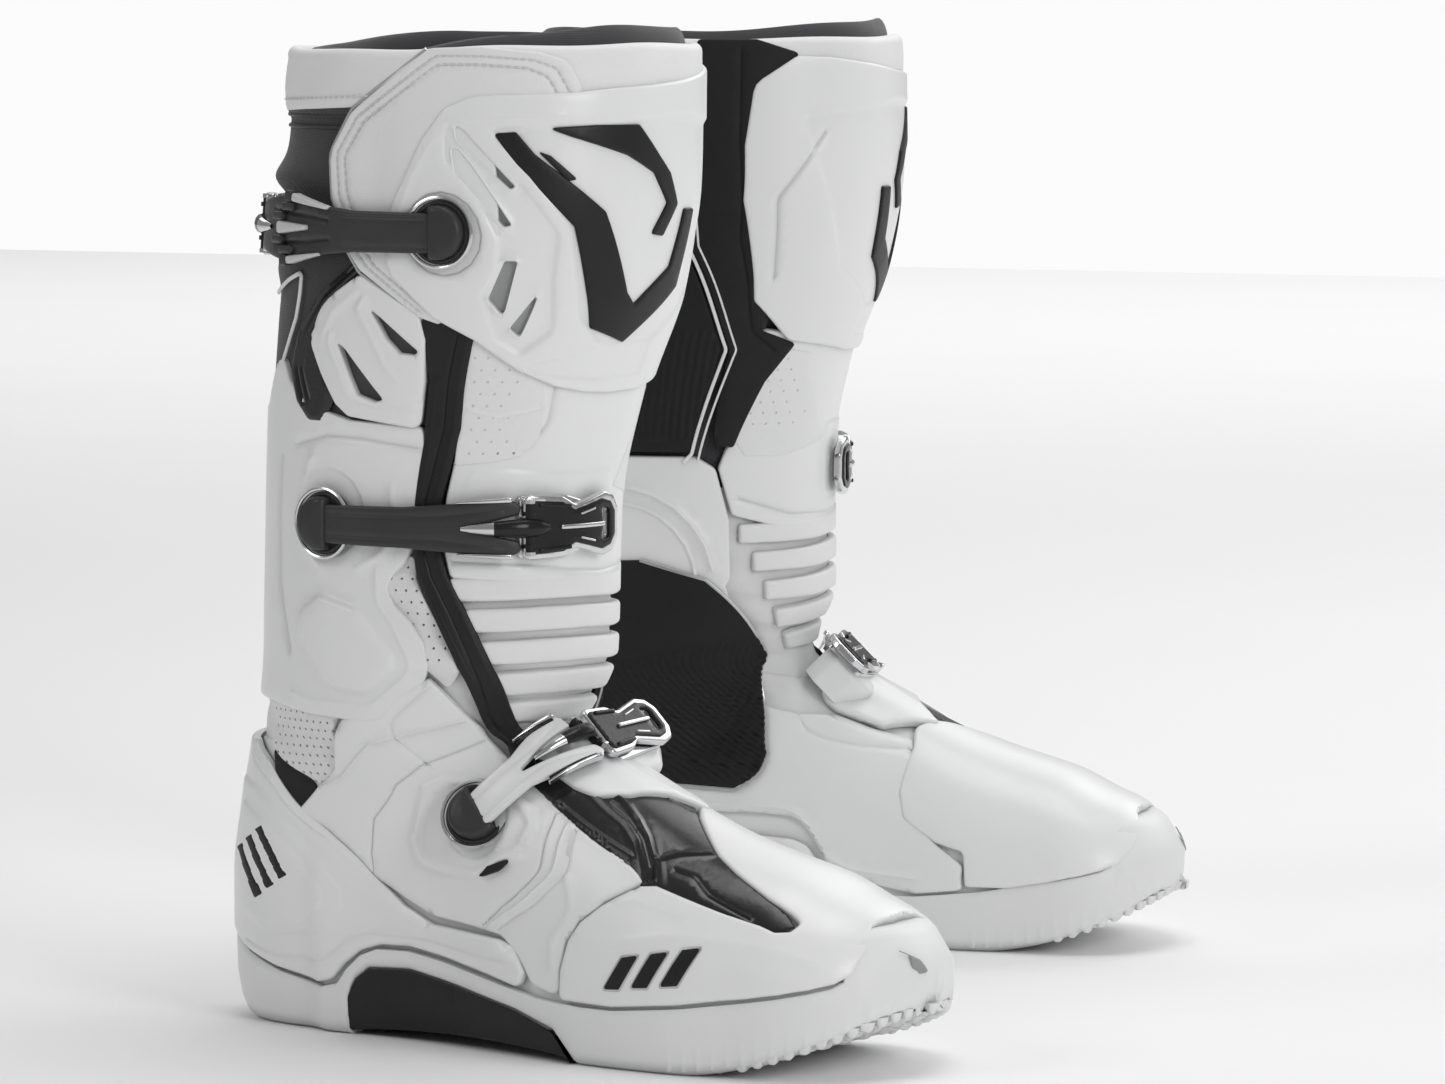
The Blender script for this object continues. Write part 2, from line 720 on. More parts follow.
def piping(path, height, width, shape, radius=2.0):
    """A thin oval cord laid along a path of places."""
    p, n = on_skin(path, 2.0, radius, height)
    return sweep(p, n, circle(width / 2, 8, 0.7), False, 0, shape)


# ---------------------------------------------------------------- materials
class Nodes:
    """A material being made: short calls to add nodes and join them."""

    def __init__(self, name):
        self.material = bpy.data.materials.new(name)
        self.material.use_nodes = True
        self.tree = self.material.node_tree
        self.tree.nodes.clear()
        self.out = self.add("ShaderNodeOutputMaterial")
        self.shader = self.add("ShaderNodeBsdfPrincipled")
        self.join(self.shader.outputs[0], self.out.inputs[0])
        self.place = self.add("ShaderNodeTexCoord").outputs["Object"]

    def add(self, kind, **values):
        node = self.tree.nodes.new(kind)
        for key, value in values.items():
            if key in node.bl_rna.properties:
                setattr(node, key, value)
            else:
                node.inputs[key.replace("_", " ")].default_value = value
        return node

    def join(self, a, b):
        self.tree.links.new(a, b)

    def noise(self, scale, detail=4.0, rough=0.5, place=None):
        node = self.add("ShaderNodeTexNoise", Scale=scale, Detail=detail, Roughness=rough)
        self.join(place or self.place, node.inputs["Vector"])
        return node.outputs["Fac"]

    def spread(self, value, low, high, a=0.0, b=1.0):
        node = self.add("ShaderNodeMapRange")
        self.join(value, node.inputs["Value"])
        for key, number in (("From Min", a), ("From Max", b), ("To Min", low), ("To Max", high)):
            node.inputs[key].default_value = number
        return node.outputs["Result"]

    def blend(self, factor, first, second):
        node = self.add("ShaderNodeMix", data_type="RGBA")
        self.join(factor, node.inputs["Factor"])
        for key, colour in ((6, first), (7, second)):
            if isinstance(colour, (tuple, list)):
                node.inputs[key].default_value = (*colour, 1)
            else:
                self.join(colour, node.inputs[key])
        return node.outputs[2]

    def bump(self, height, strength, distance, under=None):
        node = self.add("ShaderNodeBump", Strength=strength, Distance=distance)
        self.join(height, node.inputs["Height"])
        if under is not None:
            self.join(under, node.inputs["Normal"])
        return node.outputs["Normal"]

    def stretched(self, x, y, z):
        node = self.add("ShaderNodeMapping")
        node.inputs["Scale"].default_value = (x, y, z)
        self.join(self.place, node.inputs["Vector"])
        return node.outputs["Vector"]

    def finish(self, colour, rough, normal=None, **fixed):
        for key, value in (("Base Color", colour), ("Roughness", rough), ("Normal", normal)):
            if value is None:
                continue
            socket = self.shader.inputs[key]
            if isinstance(value, (tuple, list)):
                socket.default_value = (*value, 1)
            elif isinstance(value, float):
                socket.default_value = value
            else:
                self.join(value, socket)
        for key, value in fixed.items():
            self.shader.inputs[key.replace("_", " ")].default_value = value
        return self.material


def crevice(m, colour, dirt, amount):
    """Darkens the folds between pieces a little, where dust and shade settle."""
    ao = m.add("ShaderNodeAmbientOcclusion", samples=4, Distance=0.006)
    mask = m.spread(ao.outputs["AO"], amount, 0.0, 0.35, 0.95)
    return m.blend(mask, colour, dirt)


def white_plastic(name, tone=0.84, rough=0.30):
    m = Nodes(name)
    wide = m.noise(9.0, 2.0)
    colour = m.blend(m.spread(wide, 0, 1, 0.3, 0.7), (tone, tone, tone),
                     (tone * 0.96, tone * 0.965, tone * 0.97))
    colour = crevice(m, colour, (0.42, 0.43, 0.44), 0.55)
    fine = m.noise(1500.0, 3.0)
    normal = m.bump(fine, 0.06, 0.0004)
    normal = m.bump(m.noise(60.0, 2.0), 0.05, 0.002, normal)
    return m.finish(colour, m.spread(m.noise(160.0, 5.0), rough - 0.05, rough + 0.09), normal, IOR=1.48)


def microfibre(name, tone=0.83, rough=0.52):
    m = Nodes(name)
    colour = m.blend(m.noise(14.0, 3.0), (tone, tone, tone * 0.995),
                     (tone * 0.94, tone * 0.945, tone * 0.95))
    colour = crevice(m, colour, (0.45, 0.45, 0.46), 0.5)
    cells = m.add("ShaderNodeTexVoronoi", Scale=1100.0, feature="F1")
    m.join(m.place, cells.inputs["Vector"])
    normal = m.bump(cells.outputs["Distance"], 0.22, 0.0003)
    normal = m.bump(m.noise(220.0, 4.0), 0.12, 0.0007, normal)
    normal = m.bump(m.noise(45.0, 2.0), 0.12, 0.003, normal)
    return m.finish(colour, m.spread(m.noise(300.0), rough - 0.06, rough + 0.08), normal)


def rubber(name, tone=0.012, rough=0.5, grain=900.0, shine=0.28):
    m = Nodes(name)
    colour = m.blend(m.noise(40.0, 4.0), (tone, tone, tone * 1.05), (tone * 1.7, tone * 1.7, tone * 1.75))
    normal = m.bump(m.noise(grain, 3.0), 0.18, 0.0003)
    normal = m.bump(m.noise(90.0, 2.0), 0.06, 0.001, normal)
    return m.finish(colour, m.spread(m.noise(120.0, 4.0), rough - 0.07, rough + 0.1), normal,
                    Specular_IOR_Level=shine)


def weave(name, dark, light, scale=520.0, rough=0.8):
    m = Nodes(name)
    one = m.add("ShaderNodeTexWave", Scale=scale * 1.1, Distortion=0.5, bands_direction="DIAGONAL")
    two = m.add("ShaderNodeTexWave", Scale=scale * 1.1, Distortion=0.5, bands_direction="Z")
    for node in (one, two):
        m.join(m.place, node.inputs["Vector"])
    both = m.add("ShaderNodeMath", operation="MULTIPLY")
    m.join(one.outputs["Fac"], both.inputs[0])
    m.join(two.outputs["Fac"], both.inputs[1])
    thread = both.outputs[0]
    colour = m.blend(m.spread(thread, 0, 1, 0.1, 0.7), dark, light)
    normal = m.bump(thread, 0.35, 0.00025)
    normal = m.bump(m.noise(60.0, 3.0), 0.2, 0.002, normal)
    return m.finish(colour, m.spread(m.noise(200.0), rough - 0.08, rough + 0.08), normal, Sheen_Weight=0.25)


def metal(name, tone=0.72, rough=0.16):
    m = Nodes(name)
    drawn = m.noise(260.0, 6.0, 0.6, m.stretched(1.0, 1.0, 14.0))
    colour = m.blend(m.noise(70.0, 4.0), (tone, tone, tone * 1.01), (tone * 0.88, tone * 0.885, tone * 0.9))
    normal = m.bump(drawn, 0.03, 0.0003)
    return m.finish(colour, m.spread(drawn, rough - 0.05, rough + 0.1), normal, Metallic=1.0)


WHITE = white_plastic("white_plastic")
WHITE_SOFT = microfibre("white_microfibre")
SOLE_WHITE = white_plastic("sole_white", 0.80, 0.46)
BLACK = rubber("black_rubber")
BLACK_MATT = rubber("black_matt", 0.010, 0.62, 1400.0, 0.25)
FLEX = rubber("dark_flex", 0.010, 0.22, 500.0, 0.5)
INLAY = rubber("inlay_black", 0.010, 0.42, 1200.0)
STRAP = rubber("strap_dark", 0.026, 0.38, 700.0, 0.4)
TEXTILE = weave("charcoal_textile", (0.020, 0.020, 0.022), (0.055, 0.055, 0.06))
LINING = weave("lining", (0.030, 0.030, 0.033), (0.07, 0.07, 0.075), 420.0)
PALE_MESH = microfibre("pale_mesh", 0.78, 0.6)
HOLE = rubber("hole_dark", 0.05, 0.7)
METAL = metal("polished_metal")
METAL_DARK = metal("dark_metal", 0.16, 0.28)
THREAD = weave("thread_white", (0.6, 0.6, 0.6), (0.85, 0.85, 0.85), 2000.0, 0.7)
SILVER = metal("silver_piping", 0.6, 0.35)
CLAW = white_plastic("claw_grey", 0.62, 0.32)
HOLE_GREY = white_plastic("shadow_grey", 0.30, 0.5)
FLEX_SATIN = rubber("disc_satin", 0.03, 0.34, 500.0)
LEVER_BLACK = rubber("lever_black", 0.012, 0.2, 500.0)
WHITE_STRAP = white_plastic("strap_white", 0.80, 0.28)


# ---------------------------------------------------------------- the foot's own map
class OnFoot:
    """Flat millimetres for a panel on the forefoot: along the foot, and round its long axis.

    Ahead of the last straight section the rays fan out round one point, as on the end of a capsule.
    """
    END = 250.0
    FLOOR = 22.0
    ROUND = 46.0

    def middle(self, u):
        x = np.minimum(u, self.END)
        return np.stack([x, foot_y(x), np.full_like(x, self.FLOOR)], -1)

    def flat(self, place):
        p = MAP.at(np.array([place[0]]), np.array([place[1]]))[0][0]
        d = p - self.middle(np.array([p[0]]))[0]
        turn = math.atan2(d[2], d[1])
        u = p[0] if p[0] <= self.END else self.END + self.ROUND * math.atan2(d[0], math.hypot(d[1], d[2]))
        return (u, -turn * self.ROUND) + tuple(place[2:])

    def at(self, uv):
        u, turn = uv[:, 0], -uv[:, 1] / self.ROUND
        tilt = np.maximum(u - self.END, 0) / self.ROUND
        ray = np.stack([np.sin(tilt), np.cos(tilt) * np.cos(turn), np.cos(tilt) * np.sin(turn)], -1)
        p = settle(SkinMap.shoot(self.middle(u), ray), 1)
        return p, gradient(p)[0]


def places(points):
    """Places on the front from (y, z)."""
    return [front(y, z) for y, z in points]


# ---------------------------------------------------------------- pieces: inner boot, collar and gaiter
BUTT = -13.5


def behind(s):
    """From 0 at the front of the rim to 1 round its outer side and back."""
    return ease(0.28, 0.62, s) * (1 - ease(1.35, 1.7, s)) + ease(0.72, 1.0, -s) * (s < 0)


def inner_boot():
    """Soft inner boot: a padded tube, open at the top, whose dark rim shows above the collar."""
    def top(s):
        return 387.8 + 2.2 * np.cos(2 * math.pi * s) + 0.5 * np.sin(6 * math.pi * s) - 7.5 * behind(s)
    rim = [(lambda s, a=a: top(s) - 9.0 + 11.0 * math.sin(a), -9.4 + 4.4 * math.cos(a))
           for a in np.linspace(-0.1, math.pi + 0.1, 12)]
    outside = [(z, -5.2) for z in (150, 200, 250, 300, 345, 362)]
    inside_wall = [(z, BUTT) for z in (368, 350, 320, 290, 250, 210, 180, 160, 148)]
    shape = sleeve(outside + rim + inside_wall, columns=160)
    piece = stand("inner_boot_shaft", shape, "shaft", [LINING], ["inner_boot_shaft"])


def collar():
    """Soft collar: a padded microfibre band round the top of the shaft, with a rolled edge."""
    def low(s):
        return 361.0 + 3.0 * np.cos(math.pi * s)

    def top(s):
        return (384.6 + 0.5 * np.cos(2 * math.pi * s) + 0.35 * np.sin(7 * math.pi * s + 1.0)
                - 1.5 * behind(s))

    def rib(z, height):
        return (lambda s: z + 0 * s), (lambda s: height + 0.25 * np.sin(11 * math.pi * s + z / 6.0)
                                       + 0.2 * np.sin(4 * math.pi * s - z / 9.0))
    rows = [(low, lambda s: -3.6 + 0 * s), (lambda s: low(s) - 0.3, lambda s: -0.8 + 0 * s),
            (lambda s: low(s) + 0.5, lambda s: 0.3 + 0 * s),
            (lambda s: low(s) + 2.5, lambda s: 0.9 + 0 * s)]
    rows += [rib(z, h) for z, h in ((367.5, 1.2), (371, 1.3), (375, 1.3), (378.5, 1.1))]
    for a in np.linspace(0.0, math.pi, 9):
        rows.append((lambda s, a=a: top(s) - 3.2 + 3.2 * math.sin(a),
                     lambda s, a=a: -2.1 + 3.2 * math.cos(a)))
    rows += [(lambda s: 375.0 + 0 * s, lambda s: -5.4 + 0 * s),
             (lambda s: 362.0 + 0 * s, lambda s: -5.2 + 0 * s)]
    shape = sleeve(rows, columns=300)
    made = stand("collar", shape, "shaft", [WHITE_SOFT], ["collar"])
    stitch = Shape()
    stitches([(s, 365.5 + 3 * math.cos(math.pi * s)) for s in np.linspace(0.42, 1.45, 40)], 1.25, stitch)
    stand("collar_stitching", stitch, "shaft", [THREAD])


FLAP = [(124, 383.4, 7), (89, 359, 10), (78.5, 343, 8), (80, 326, 20), (87, 307, 8), (93, 299),
        (119, 281.5, 2), (127, 279, 2), (150, 300), (150, 345), (176, 366), (171.5, 379, 6), (164, 382, 6),
        (144, 384.2, 20)]


def side(points, where=outer):
    """Places with their own corner radius kept as a third number."""
    return [where(p[0], p[1]) + tuple(p[2:]) for p in points]


def mark(points, half, height, radius=2.0, where=outer):
    """Raised or sunk line through (x, z) points on one side."""
    return Bump(side(points, where), half, height, radius)


FLAP_SEAM = [(120, 283.5), (97, 300), (90.5, 308.5), (84, 327), (82.3, 343), (92, 357), (127, 380.5),
             (144, 380.5), (162, 379), (168.5, 376), (172, 367)]
FLAP_SEAM_IN = [(121, 286), (100, 301), (94, 310), (88, 328), (86.3, 342), (95, 355), (128, 377.2),
                (144, 377.2), (160, 376), (166, 373), (169, 366)]


def collar_flap():
    """Stitched microfibre flap of the collar that runs down beside the top disc."""
    def dents(uv, p):
        x, z = p[:, 0], p[:, 2]
        return (-1.1 * np.exp(-((x - 101) / 9.0) ** 2 - ((z - 333) / 24.0) ** 2)
                - 0.8 * np.exp(-((x - 140) / 20.0) ** 2 - ((z - 371) / 5.0) ** 2))

    shape = panel(side(FLAP), lift=2.1, thick=2.6, edge=0.9, step=2.4, radius=4,
                  bumps=[mark(FLAP_SEAM, 0.9, -0.5, radius=5),
                         mark(FLAP_SEAM_IN, 0.9, -0.45, radius=5)],
                  extra=dents)
    stand("collar_flap", shape, "shaft", [WHITE_SOFT])
    stitch = Shape()
    stitches(side(FLAP_SEAM), 1.75, stitch, radius=5)
    stitches(side(FLAP_SEAM_IN), 1.8, stitch, radius=5)
    stand("collar_flap_stitching", stitch, "shaft", [THREAD])
    trim = Shape()
    edge_path = [(120, 280.6), (92.4, 298), (86.2, 307), (79.2, 326), (77.6, 343), (88.5, 360),
                 (122.5, 383.2)]
    piping(side(edge_path), 0.9, 1.3, trim, radius=8)
    stand("collar_flap_piping", trim, "shaft", [SILVER])


def swell(x, middle, width):
    """Bell of height 1 round a middle."""
    return np.exp(-((x - middle) / width) ** 2)


def gaiter():
    """Dark stretch gaiter round the calf, with soft level folds, and its piped upper edge."""
    def folds(s, z):
        lean = z + 7.0 * np.sin(math.pi * 2 * s)
        fold = (0.9 * np.sin(lean / 5.1) + 0.7 * np.sin(lean / 9.3 + 4 * s)
                + 0.35 * np.sin(lean / 2.9 + 9 * s))
        depth = swell(z, 318, 26.0)
        behind = np.exp(-((s - 1.0) / 0.3) ** 4)
        fold = fold + behind * (4.6 * swell(z, 333, 6.0) + 3.2 * swell(z, 295, 7.0))
        return -1.6 + depth * fold + 0.9 * swell(z, 338, 9.0) - 1.3 * swell(z, 322, 7.0)

    rows = [(z, (lambda s, z=z: folds(s, z))) for z in np.arange(240, 357, 1.5)]
    rows += [(358.0, -0.4), (359.5, 0.2), (361.0, 0.3), (362.5, 0.1), (363.5, -0.6), (364.5, -2.6)]
    rows += [(364.0, -4.8), (300, -5.0), (240, -5.0)]
    shape = sleeve(rows, 0.36, 1.72, columns=150)
    stand("calf_gaiter", shape, "shaft", [TEXTILE], ["calf_gaiter"])
    trim = Shape()
    for z, lift in ((357.2, -0.7), (353.0, -1.2)):
        piping([(s, z) for s in np.linspace(0.38, 1.6, 50)], lift, 1.5, trim)
    stand("gaiter_piping", trim, "shaft", [STRAP])
    edge = Shape()
    piping(side([(39, 288), (50, 293.5), (60, 297), (58.5, 288), (56, 279), (50, 268), (46.5, 262)]), 0.3,
           1.8, edge, radius=2)
    stand("gaiter_edge", edge, "shaft", [WHITE_SOFT])


# ---------------------------------------------------------------- pieces: the shin and calf armour
SHIN_OUTER = [(109, 323, 10), (115.5, 336), (122, 349), (131, 361, 7), (142, 365.5, 12), (174, 367)]
SHIN_TOP = [(18, 368.5), (0, 369.5), (-20, 371), (-38, 373.5)]
SHIN_INNER = [(170, 376.5), (158, 377, 4), (142, 365.5, 8), (138, 340), (137, 317), (139, 275), (150, 258),
              (164, 254)]
SHIN_LOW = [(-20, 252.5), (0, 252), (14, 253)]
SHIN_BACK = [(159, 255.5), (151, 262), (139, 273.5), (125, 281.5), (117, 289), (108.5, 297), (105, 306, 8)]
SLIT_A = [(135.5, 354.5), (139, 352), (157, 331.5), (155.5, 330.5), (136.5, 349)]
SLIT_B = [(134.5, 345.5), (137, 345), (142, 339), (155.5, 317), (153, 316.5), (136, 337)]
WEDGE_A = [(152.3, 303.5), (156.5, 303.5), (150, 282.5), (145.6, 289)]
WEDGE_B = [(162.5, 293.5), (154, 274.5), (151.3, 278)]
FIELD = [(131, 357), (160, 331), (169, 314), (166, 297), (163, 277), (153, 268), (146, 274), (143.5, 290),
         (149.5, 300), (151, 311), (144, 327), (132, 341)]


def shin_plate():
    """Upper shin plate: smooth top band, disc seat, slanted slots and a sculpted front."""
    outline = (side(SHIN_OUTER) + places(SHIN_TOP) + side(SHIN_INNER, inner) + places(SHIN_LOW)
               + side(SHIN_BACK))
    disc_seat = oval(130.5, 313.5, 14.6, 15.6)
    low_recess = (side([(147, 262), (166, 268)])
                  + places([(12, 272), (-16, 273), (-18, 259), (14, 258)]))
    front_field = (side([(147, 353.5), (162, 336), (172, 317), (170, 282)])
                   + places([(14, 272), (-16, 272)])
                   + side([(170, 290), (166, 330), (160, 352)], inner)
                   + places([(-20, 357.5), (16, 355)]))
    inner_slots = [mark([(168, 345), (150, 318), (147, 285)], 1.6, -1.2, radius=6, where=inner)]
    shape = panel(outline, lift=3.0, thick=4.2, edge=1.3, step=2.6, radius=4,
                  holes=[side(h) for h in (SLIT_A, SLIT_B, WEDGE_A, WEDGE_B)],
                  terraces=[Terrace(front_field, -1.3, 1.6, 3), Terrace(side(FIELD), -1.5, 1.4, 4),
                            Terrace(low_recess, -0.7, 1.2, 3), Terrace(side(disc_seat), -1.6, 0.9, 1)],
                  bumps=[mark([(113, 320), (118, 334), (127, 349), (140, 356.5), (170, 358.5)], 1.6, 0.45,
                              radius=8)] + inner_slots)
    stand("shin_plate", shape, "shaft", [WHITE], ["shin_plate"], sharp=50)


def shin_inlay():
    """Dark inlays of the shin plate: two nested angular bands round the front, and a slim slot."""
    shape = Shape()
    loop = (side([(149.5, 351.5), (157, 352), (163, 343.5), (180, 322), (179, 291)])
            + places([(2, 286.5), (-17, 300), (-22, 322), (-30, 322), (-26, 292),
                      (2, 272)])
            + side([(171, 278), (173, 316.5), (160, 334.5)]))
    panel(loop, lift=2.9, thick=2.0, edge=0.7, step=2.0, radius=1.2, shape=shape)
    upper = (side([(166, 353.5), (178, 354.5)])
             + places([(8, 354.5), (-10, 336), (-16, 324), (-8, 312), (-1, 313),
                       (-9, 324.5), (0, 336)])
             + side([(184, 343), (173, 350)]))
    panel(upper, lift=2.9, thick=2.0, edge=0.7, step=2.0, radius=1.2, shape=shape)
    slot = [(163.5, 345), (167.5, 343), (174.5, 334), (172, 333.5)]
    panel(side(slot), lift=2.5, thick=1.5, edge=0.5, step=1.2, radius=1.8, shape=shape)
    stand("shin_inlay", shape, "shaft", [INLAY], sharp=45)


def shin_under():
    """Grey plastic behind the slots of the shin plate."""
    outline = side([(112, 318), (130, 352), (160, 356), (174, 340), (176, 290), (160, 262), (140, 278),
                    (116, 296)])
    shape = panel(outline, lift=-0.6, thick=1.2, edge=0.4, step=5)
    stand("shin_plate_liner", shape, "shaft", [HOLE_GREY])


PLATE_C = [(93, 297.5, 5), (77, 288, 5), (71.5, 283.5, 6), (66, 271.5, 8), (72, 258.5, 6), (79, 247, 5),
           (85, 242.5, 5), (116.5, 238.5), (119.5, 257), (121, 273), (119, 282.5), (108, 289)]
SLOT_C1 = [(97.5, 284), (102, 281), (117.5, 268.5), (116, 267), (109.5, 267.5), (104, 273)]
SLOT_C2 = [(81, 271), (85, 268), (101.5, 249.5), (98, 248.5), (89.5, 251), (86, 258)]


def calf_plate():
    """Slotted calf plate and the ridged black trim round its rear edge."""
    shape = panel(side(PLATE_C), lift=2.2, thick=3.4, edge=1.3, step=2.3, radius=4,
                  holes=[side(SLOT_C1), side(SLOT_C2)],
                  bumps=[mark([(92, 291), (80, 283), (73, 272), (80, 258), (88, 248), (113, 244)], 2.2, 0.6,
                              radius=6),
                         mark([(95, 288), (92, 284), (104, 262), (108, 258)], 1.8, 0.8, radius=4),
                         mark([(78, 274), (77, 270), (86, 252)], 1.6, 0.7, radius=4)])
    stand("calf_plate", shape, "shaft", [WHITE], ["calf_plate"], sharp=50)
    trim_line = [(96, 304.5, 3), (90, 302, 6), (70, 288, 6), (57.5, 274, 8), (53, 260, 6), (57, 247, 5),
                 (64, 240, 4)]
    inside_line = [(72, 240), (78, 250), (72, 262), (76, 284), (96, 296)]
    shape = panel(side(trim_line + inside_line), lift=1.2, thick=2.6, edge=1.0, step=2.0,
                  bumps=[mark([(92, 300.5), (73, 287), (61.5, 273), (57.5, 260), (61, 248)], 0.9, -1.1,
                              radius=6),
                         mark([(93, 298.5), (75, 285.5), (64, 272), (60.5, 260), (64, 249)], 0.8, -0.9,
                              radius=6)])
    stand("calf_plate_trim", shape, "shaft", [FLEX], sharp=60)
    under = panel(side([(80, 284), (74, 270), (86, 246), (114, 243), (117, 268), (110, 284), (96, 290)]),
                  lift=-1.2, thick=1.0, edge=0.4, step=5)
    stand("calf_plate_liner", under, "shaft", [HOLE])


CALF_RIGHT = [(117, 239.5), (120, 224), (117.5, 211), (112.5, 194), (109, 187), (103.5, 181.5, 3),
              (101.5, 176, 4), (104, 171, 5), (111, 164, 6), (116.5, 156, 7), (118, 148, 6),
              (115.5, 141, 5), (99, 126, 5), (90, 124.3, 8), (62, 125.8, 10), (40, 129, 8)]
CALF_INNER = [(40, 131), (80, 131), (94, 133, 12), (116, 141, 20), (126, 156), (126, 181), (121, 203),
              (113, 208), (62, 208), (56, 216), (52, 243)]
PAD = [(70, 173, 6), (59, 165, 6), (60, 157, 4), (71.5, 141, 5), (76, 137.5, 5), (92, 136, 6),
       (104.5, 147, 5), (104, 151, 5), (88, 168.5, 6)]


def calf_shell():
    """Calf shell: wraps the back of the leg and ends in the outer ankle ear with its raised pad."""
    outline = (side(CALF_RIGHT) + [rear(12, 131), rear(-12, 132)]
               + [wrap(p[:2]) + p[2:] for p in side(CALF_INNER, inner)]
               + [rear(-10, 241), rear(10, 241)]
               + side([(33, 245), (42, 262, 3), (47, 263, 2), (52, 255), (61, 248.5), (75, 243.5),
                       (85, 241)]))
    arch = Bump([wrap(p) for p in side(arc(PIVOT_X, PIVOT_Z, 40, 0.15, 2.9, 12), inner)], 1.6, 1.5)
    shape = panel(outline, lift=0.8, thick=3.4, edge=1.3, step=3.2, radius=4,
                  terraces=[Terrace(side(PAD), 2.4, 1.8, 5),
                            Terrace(side(oval(74, 205, 17)), -0.9, 1.2, 1)],
                  bumps=[mark([(59, 231), (74, 234.5), (90, 234), (114, 231)], 1.3, -1.1, radius=6),
                         mark([(66, 226), (60, 208), (62, 192), (70, 184)], 2.6, 1.1, radius=12),
                         mark([(104, 216), (105, 200), (100, 190), (88, 184)], 2.4, 1.0, radius=12),
                         mark([(47, 226), (45, 200), (46, 175), (52, 150)], 1.6, -1.2, radius=12),
                         mark([(54, 134), (62, 131.5), (92, 130.5), (112, 146), (104, 163), (97, 172),
                               (97, 184)], 1.5, 0.55, radius=7), arch])
    stand("calf_shell", shape, "shaft", [WHITE], ["calf_shell"], sharp=50)


def shin_guard():
    """Lower shin guard: one smooth plate down the front, from the shin plate to the ankle."""
    outline = (side([(126, 181.5, 3), (123.5, 194), (124.5, 211), (127, 222), (132, 240), (135, 258),
                     (139, 276), (151, 266), (159, 259)])
               + places([(14, 257), (-20, 257)])
               + side([(164, 258), (151, 261), (141, 262), (128, 217), (122, 203), (127, 183),
                       (150, 175)], inner)
               + places([(-20, 173), (-6, 174), (12, 176.5)]) + side([(147, 179.5)]))
    shape = panel(outline, lift=0.4, thick=3.2, edge=1.2, step=3.0, radius=3,
                  bumps=[Bump(side([(127, 188), (150, 186.5)]) + places([(12, 184), (-10, 182)])
                              + side([(148, 183), (130, 190)], inner), 1.1, -0.9),
                         mark([(128, 226), (148, 230), (156, 240), (160, 256)], 1.3, -0.9, radius=8)],
                  terraces=[Terrace(side([(134, 224), (150, 222)])
                                    + places([(8, 221), (-16, 221), (-16, 189), (8, 190)])
                                    + side([(150, 191), (132, 193), (130, 210)]), 0.7, 1.4, 4)])
    stand("shin_guard_lower", shape, "shaft", [WHITE], ["shin_guard_lower"], sharp=50)
    spots = []
    for row in range(9):
        z = 229.5 + 4.6 * row
        for k in range(5):
            x = 133.5 + 4.4 * k + (row % 2) * 2.2 + 0.14 * (z - 230)
            if x < 147 + max(0, (z - 246)) * 0.7 and x > 132 + 0.14 * (z - 230):
                spots.append((outer(x, z), 0.42))
    panel_e = side([(128, 224.5, 2), (134, 257), (139, 276), (150, 266), (157.5, 259), (156, 246),
                    (153.5, 235), (149, 228.5, 4), (142, 226)])
    shape = panel(panel_e, lift=0.7, thick=1.8, edge=0.7, step=2.6, radius=2, pricks=spots,
                  bumps=[mark([(131, 247), (144, 244), (155, 247)], 1.6, -0.5)])
    stand("perforated_panel", shape, "shaft", [WHITE_SOFT, HOLE], sharp=50)
    inner_spots = [(inner(x + (row % 2) * 2.3, 222 + 4.6 * row), 0.42) for row in range(7)
                   for x in np.arange(131 + 1.6 * row, 152, 4.6)]
    patch = [(127, 218), (141, 256), (158, 252), (156, 240), (157, 214), (146, 208), (132, 208)]
    shape = panel(side(patch, inner), lift=0.7, thick=1.8, edge=0.7, step=2.6, radius=2,
                  pricks=[p for p in inner_spots if p[0][1] > 214 + 2 and p[0][1] < 250])
    stand("perforated_panel_inner", shape, "shaft", [WHITE_SOFT, HOLE], sharp=50)


for make in (inner_boot, collar, collar_flap, gaiter, shin_under, shin_plate, shin_inlay, calf_plate,
             calf_shell, shin_guard):
    make()


# ---------------------------------------------------------------- pieces: sole
SOLE_TOP = [(0, 36), (14, 31), (20, 27.5), (38, 22), (60, 18), (68, 20), (73, 26), (80, 32), (88, 35),
            (104, 35.5), (122, 33), (145, 28.5), (168, 24), (190, 22.5), (205, 22.5), (235, 25.5),
            (262, 29.5), (274, 31.5), (284, 33.5), (292, 35.5), (296, 38), (298, 46), (300, 54), (305, 56),
            (311, 56)]
ARCH_ROOF = [(71, 0), (72, 13), (76, 22), (83, 27), (103, 28), (127, 24), (157, 18), (176, 12), (181, 6),
             (186, 0)]


def ramp(rows, x):
    """Straight-lined height at x from rows of (x, height)."""
    return np.interp(x, [r[0] for r in rows], [r[1] for r in rows])


def toe_spring(x):
    """Height of the sole's underside, which lifts towards the toe."""
    return 24.0 * np.clip((x - 232.0) / 76.0, 0, 1) ** 1.7


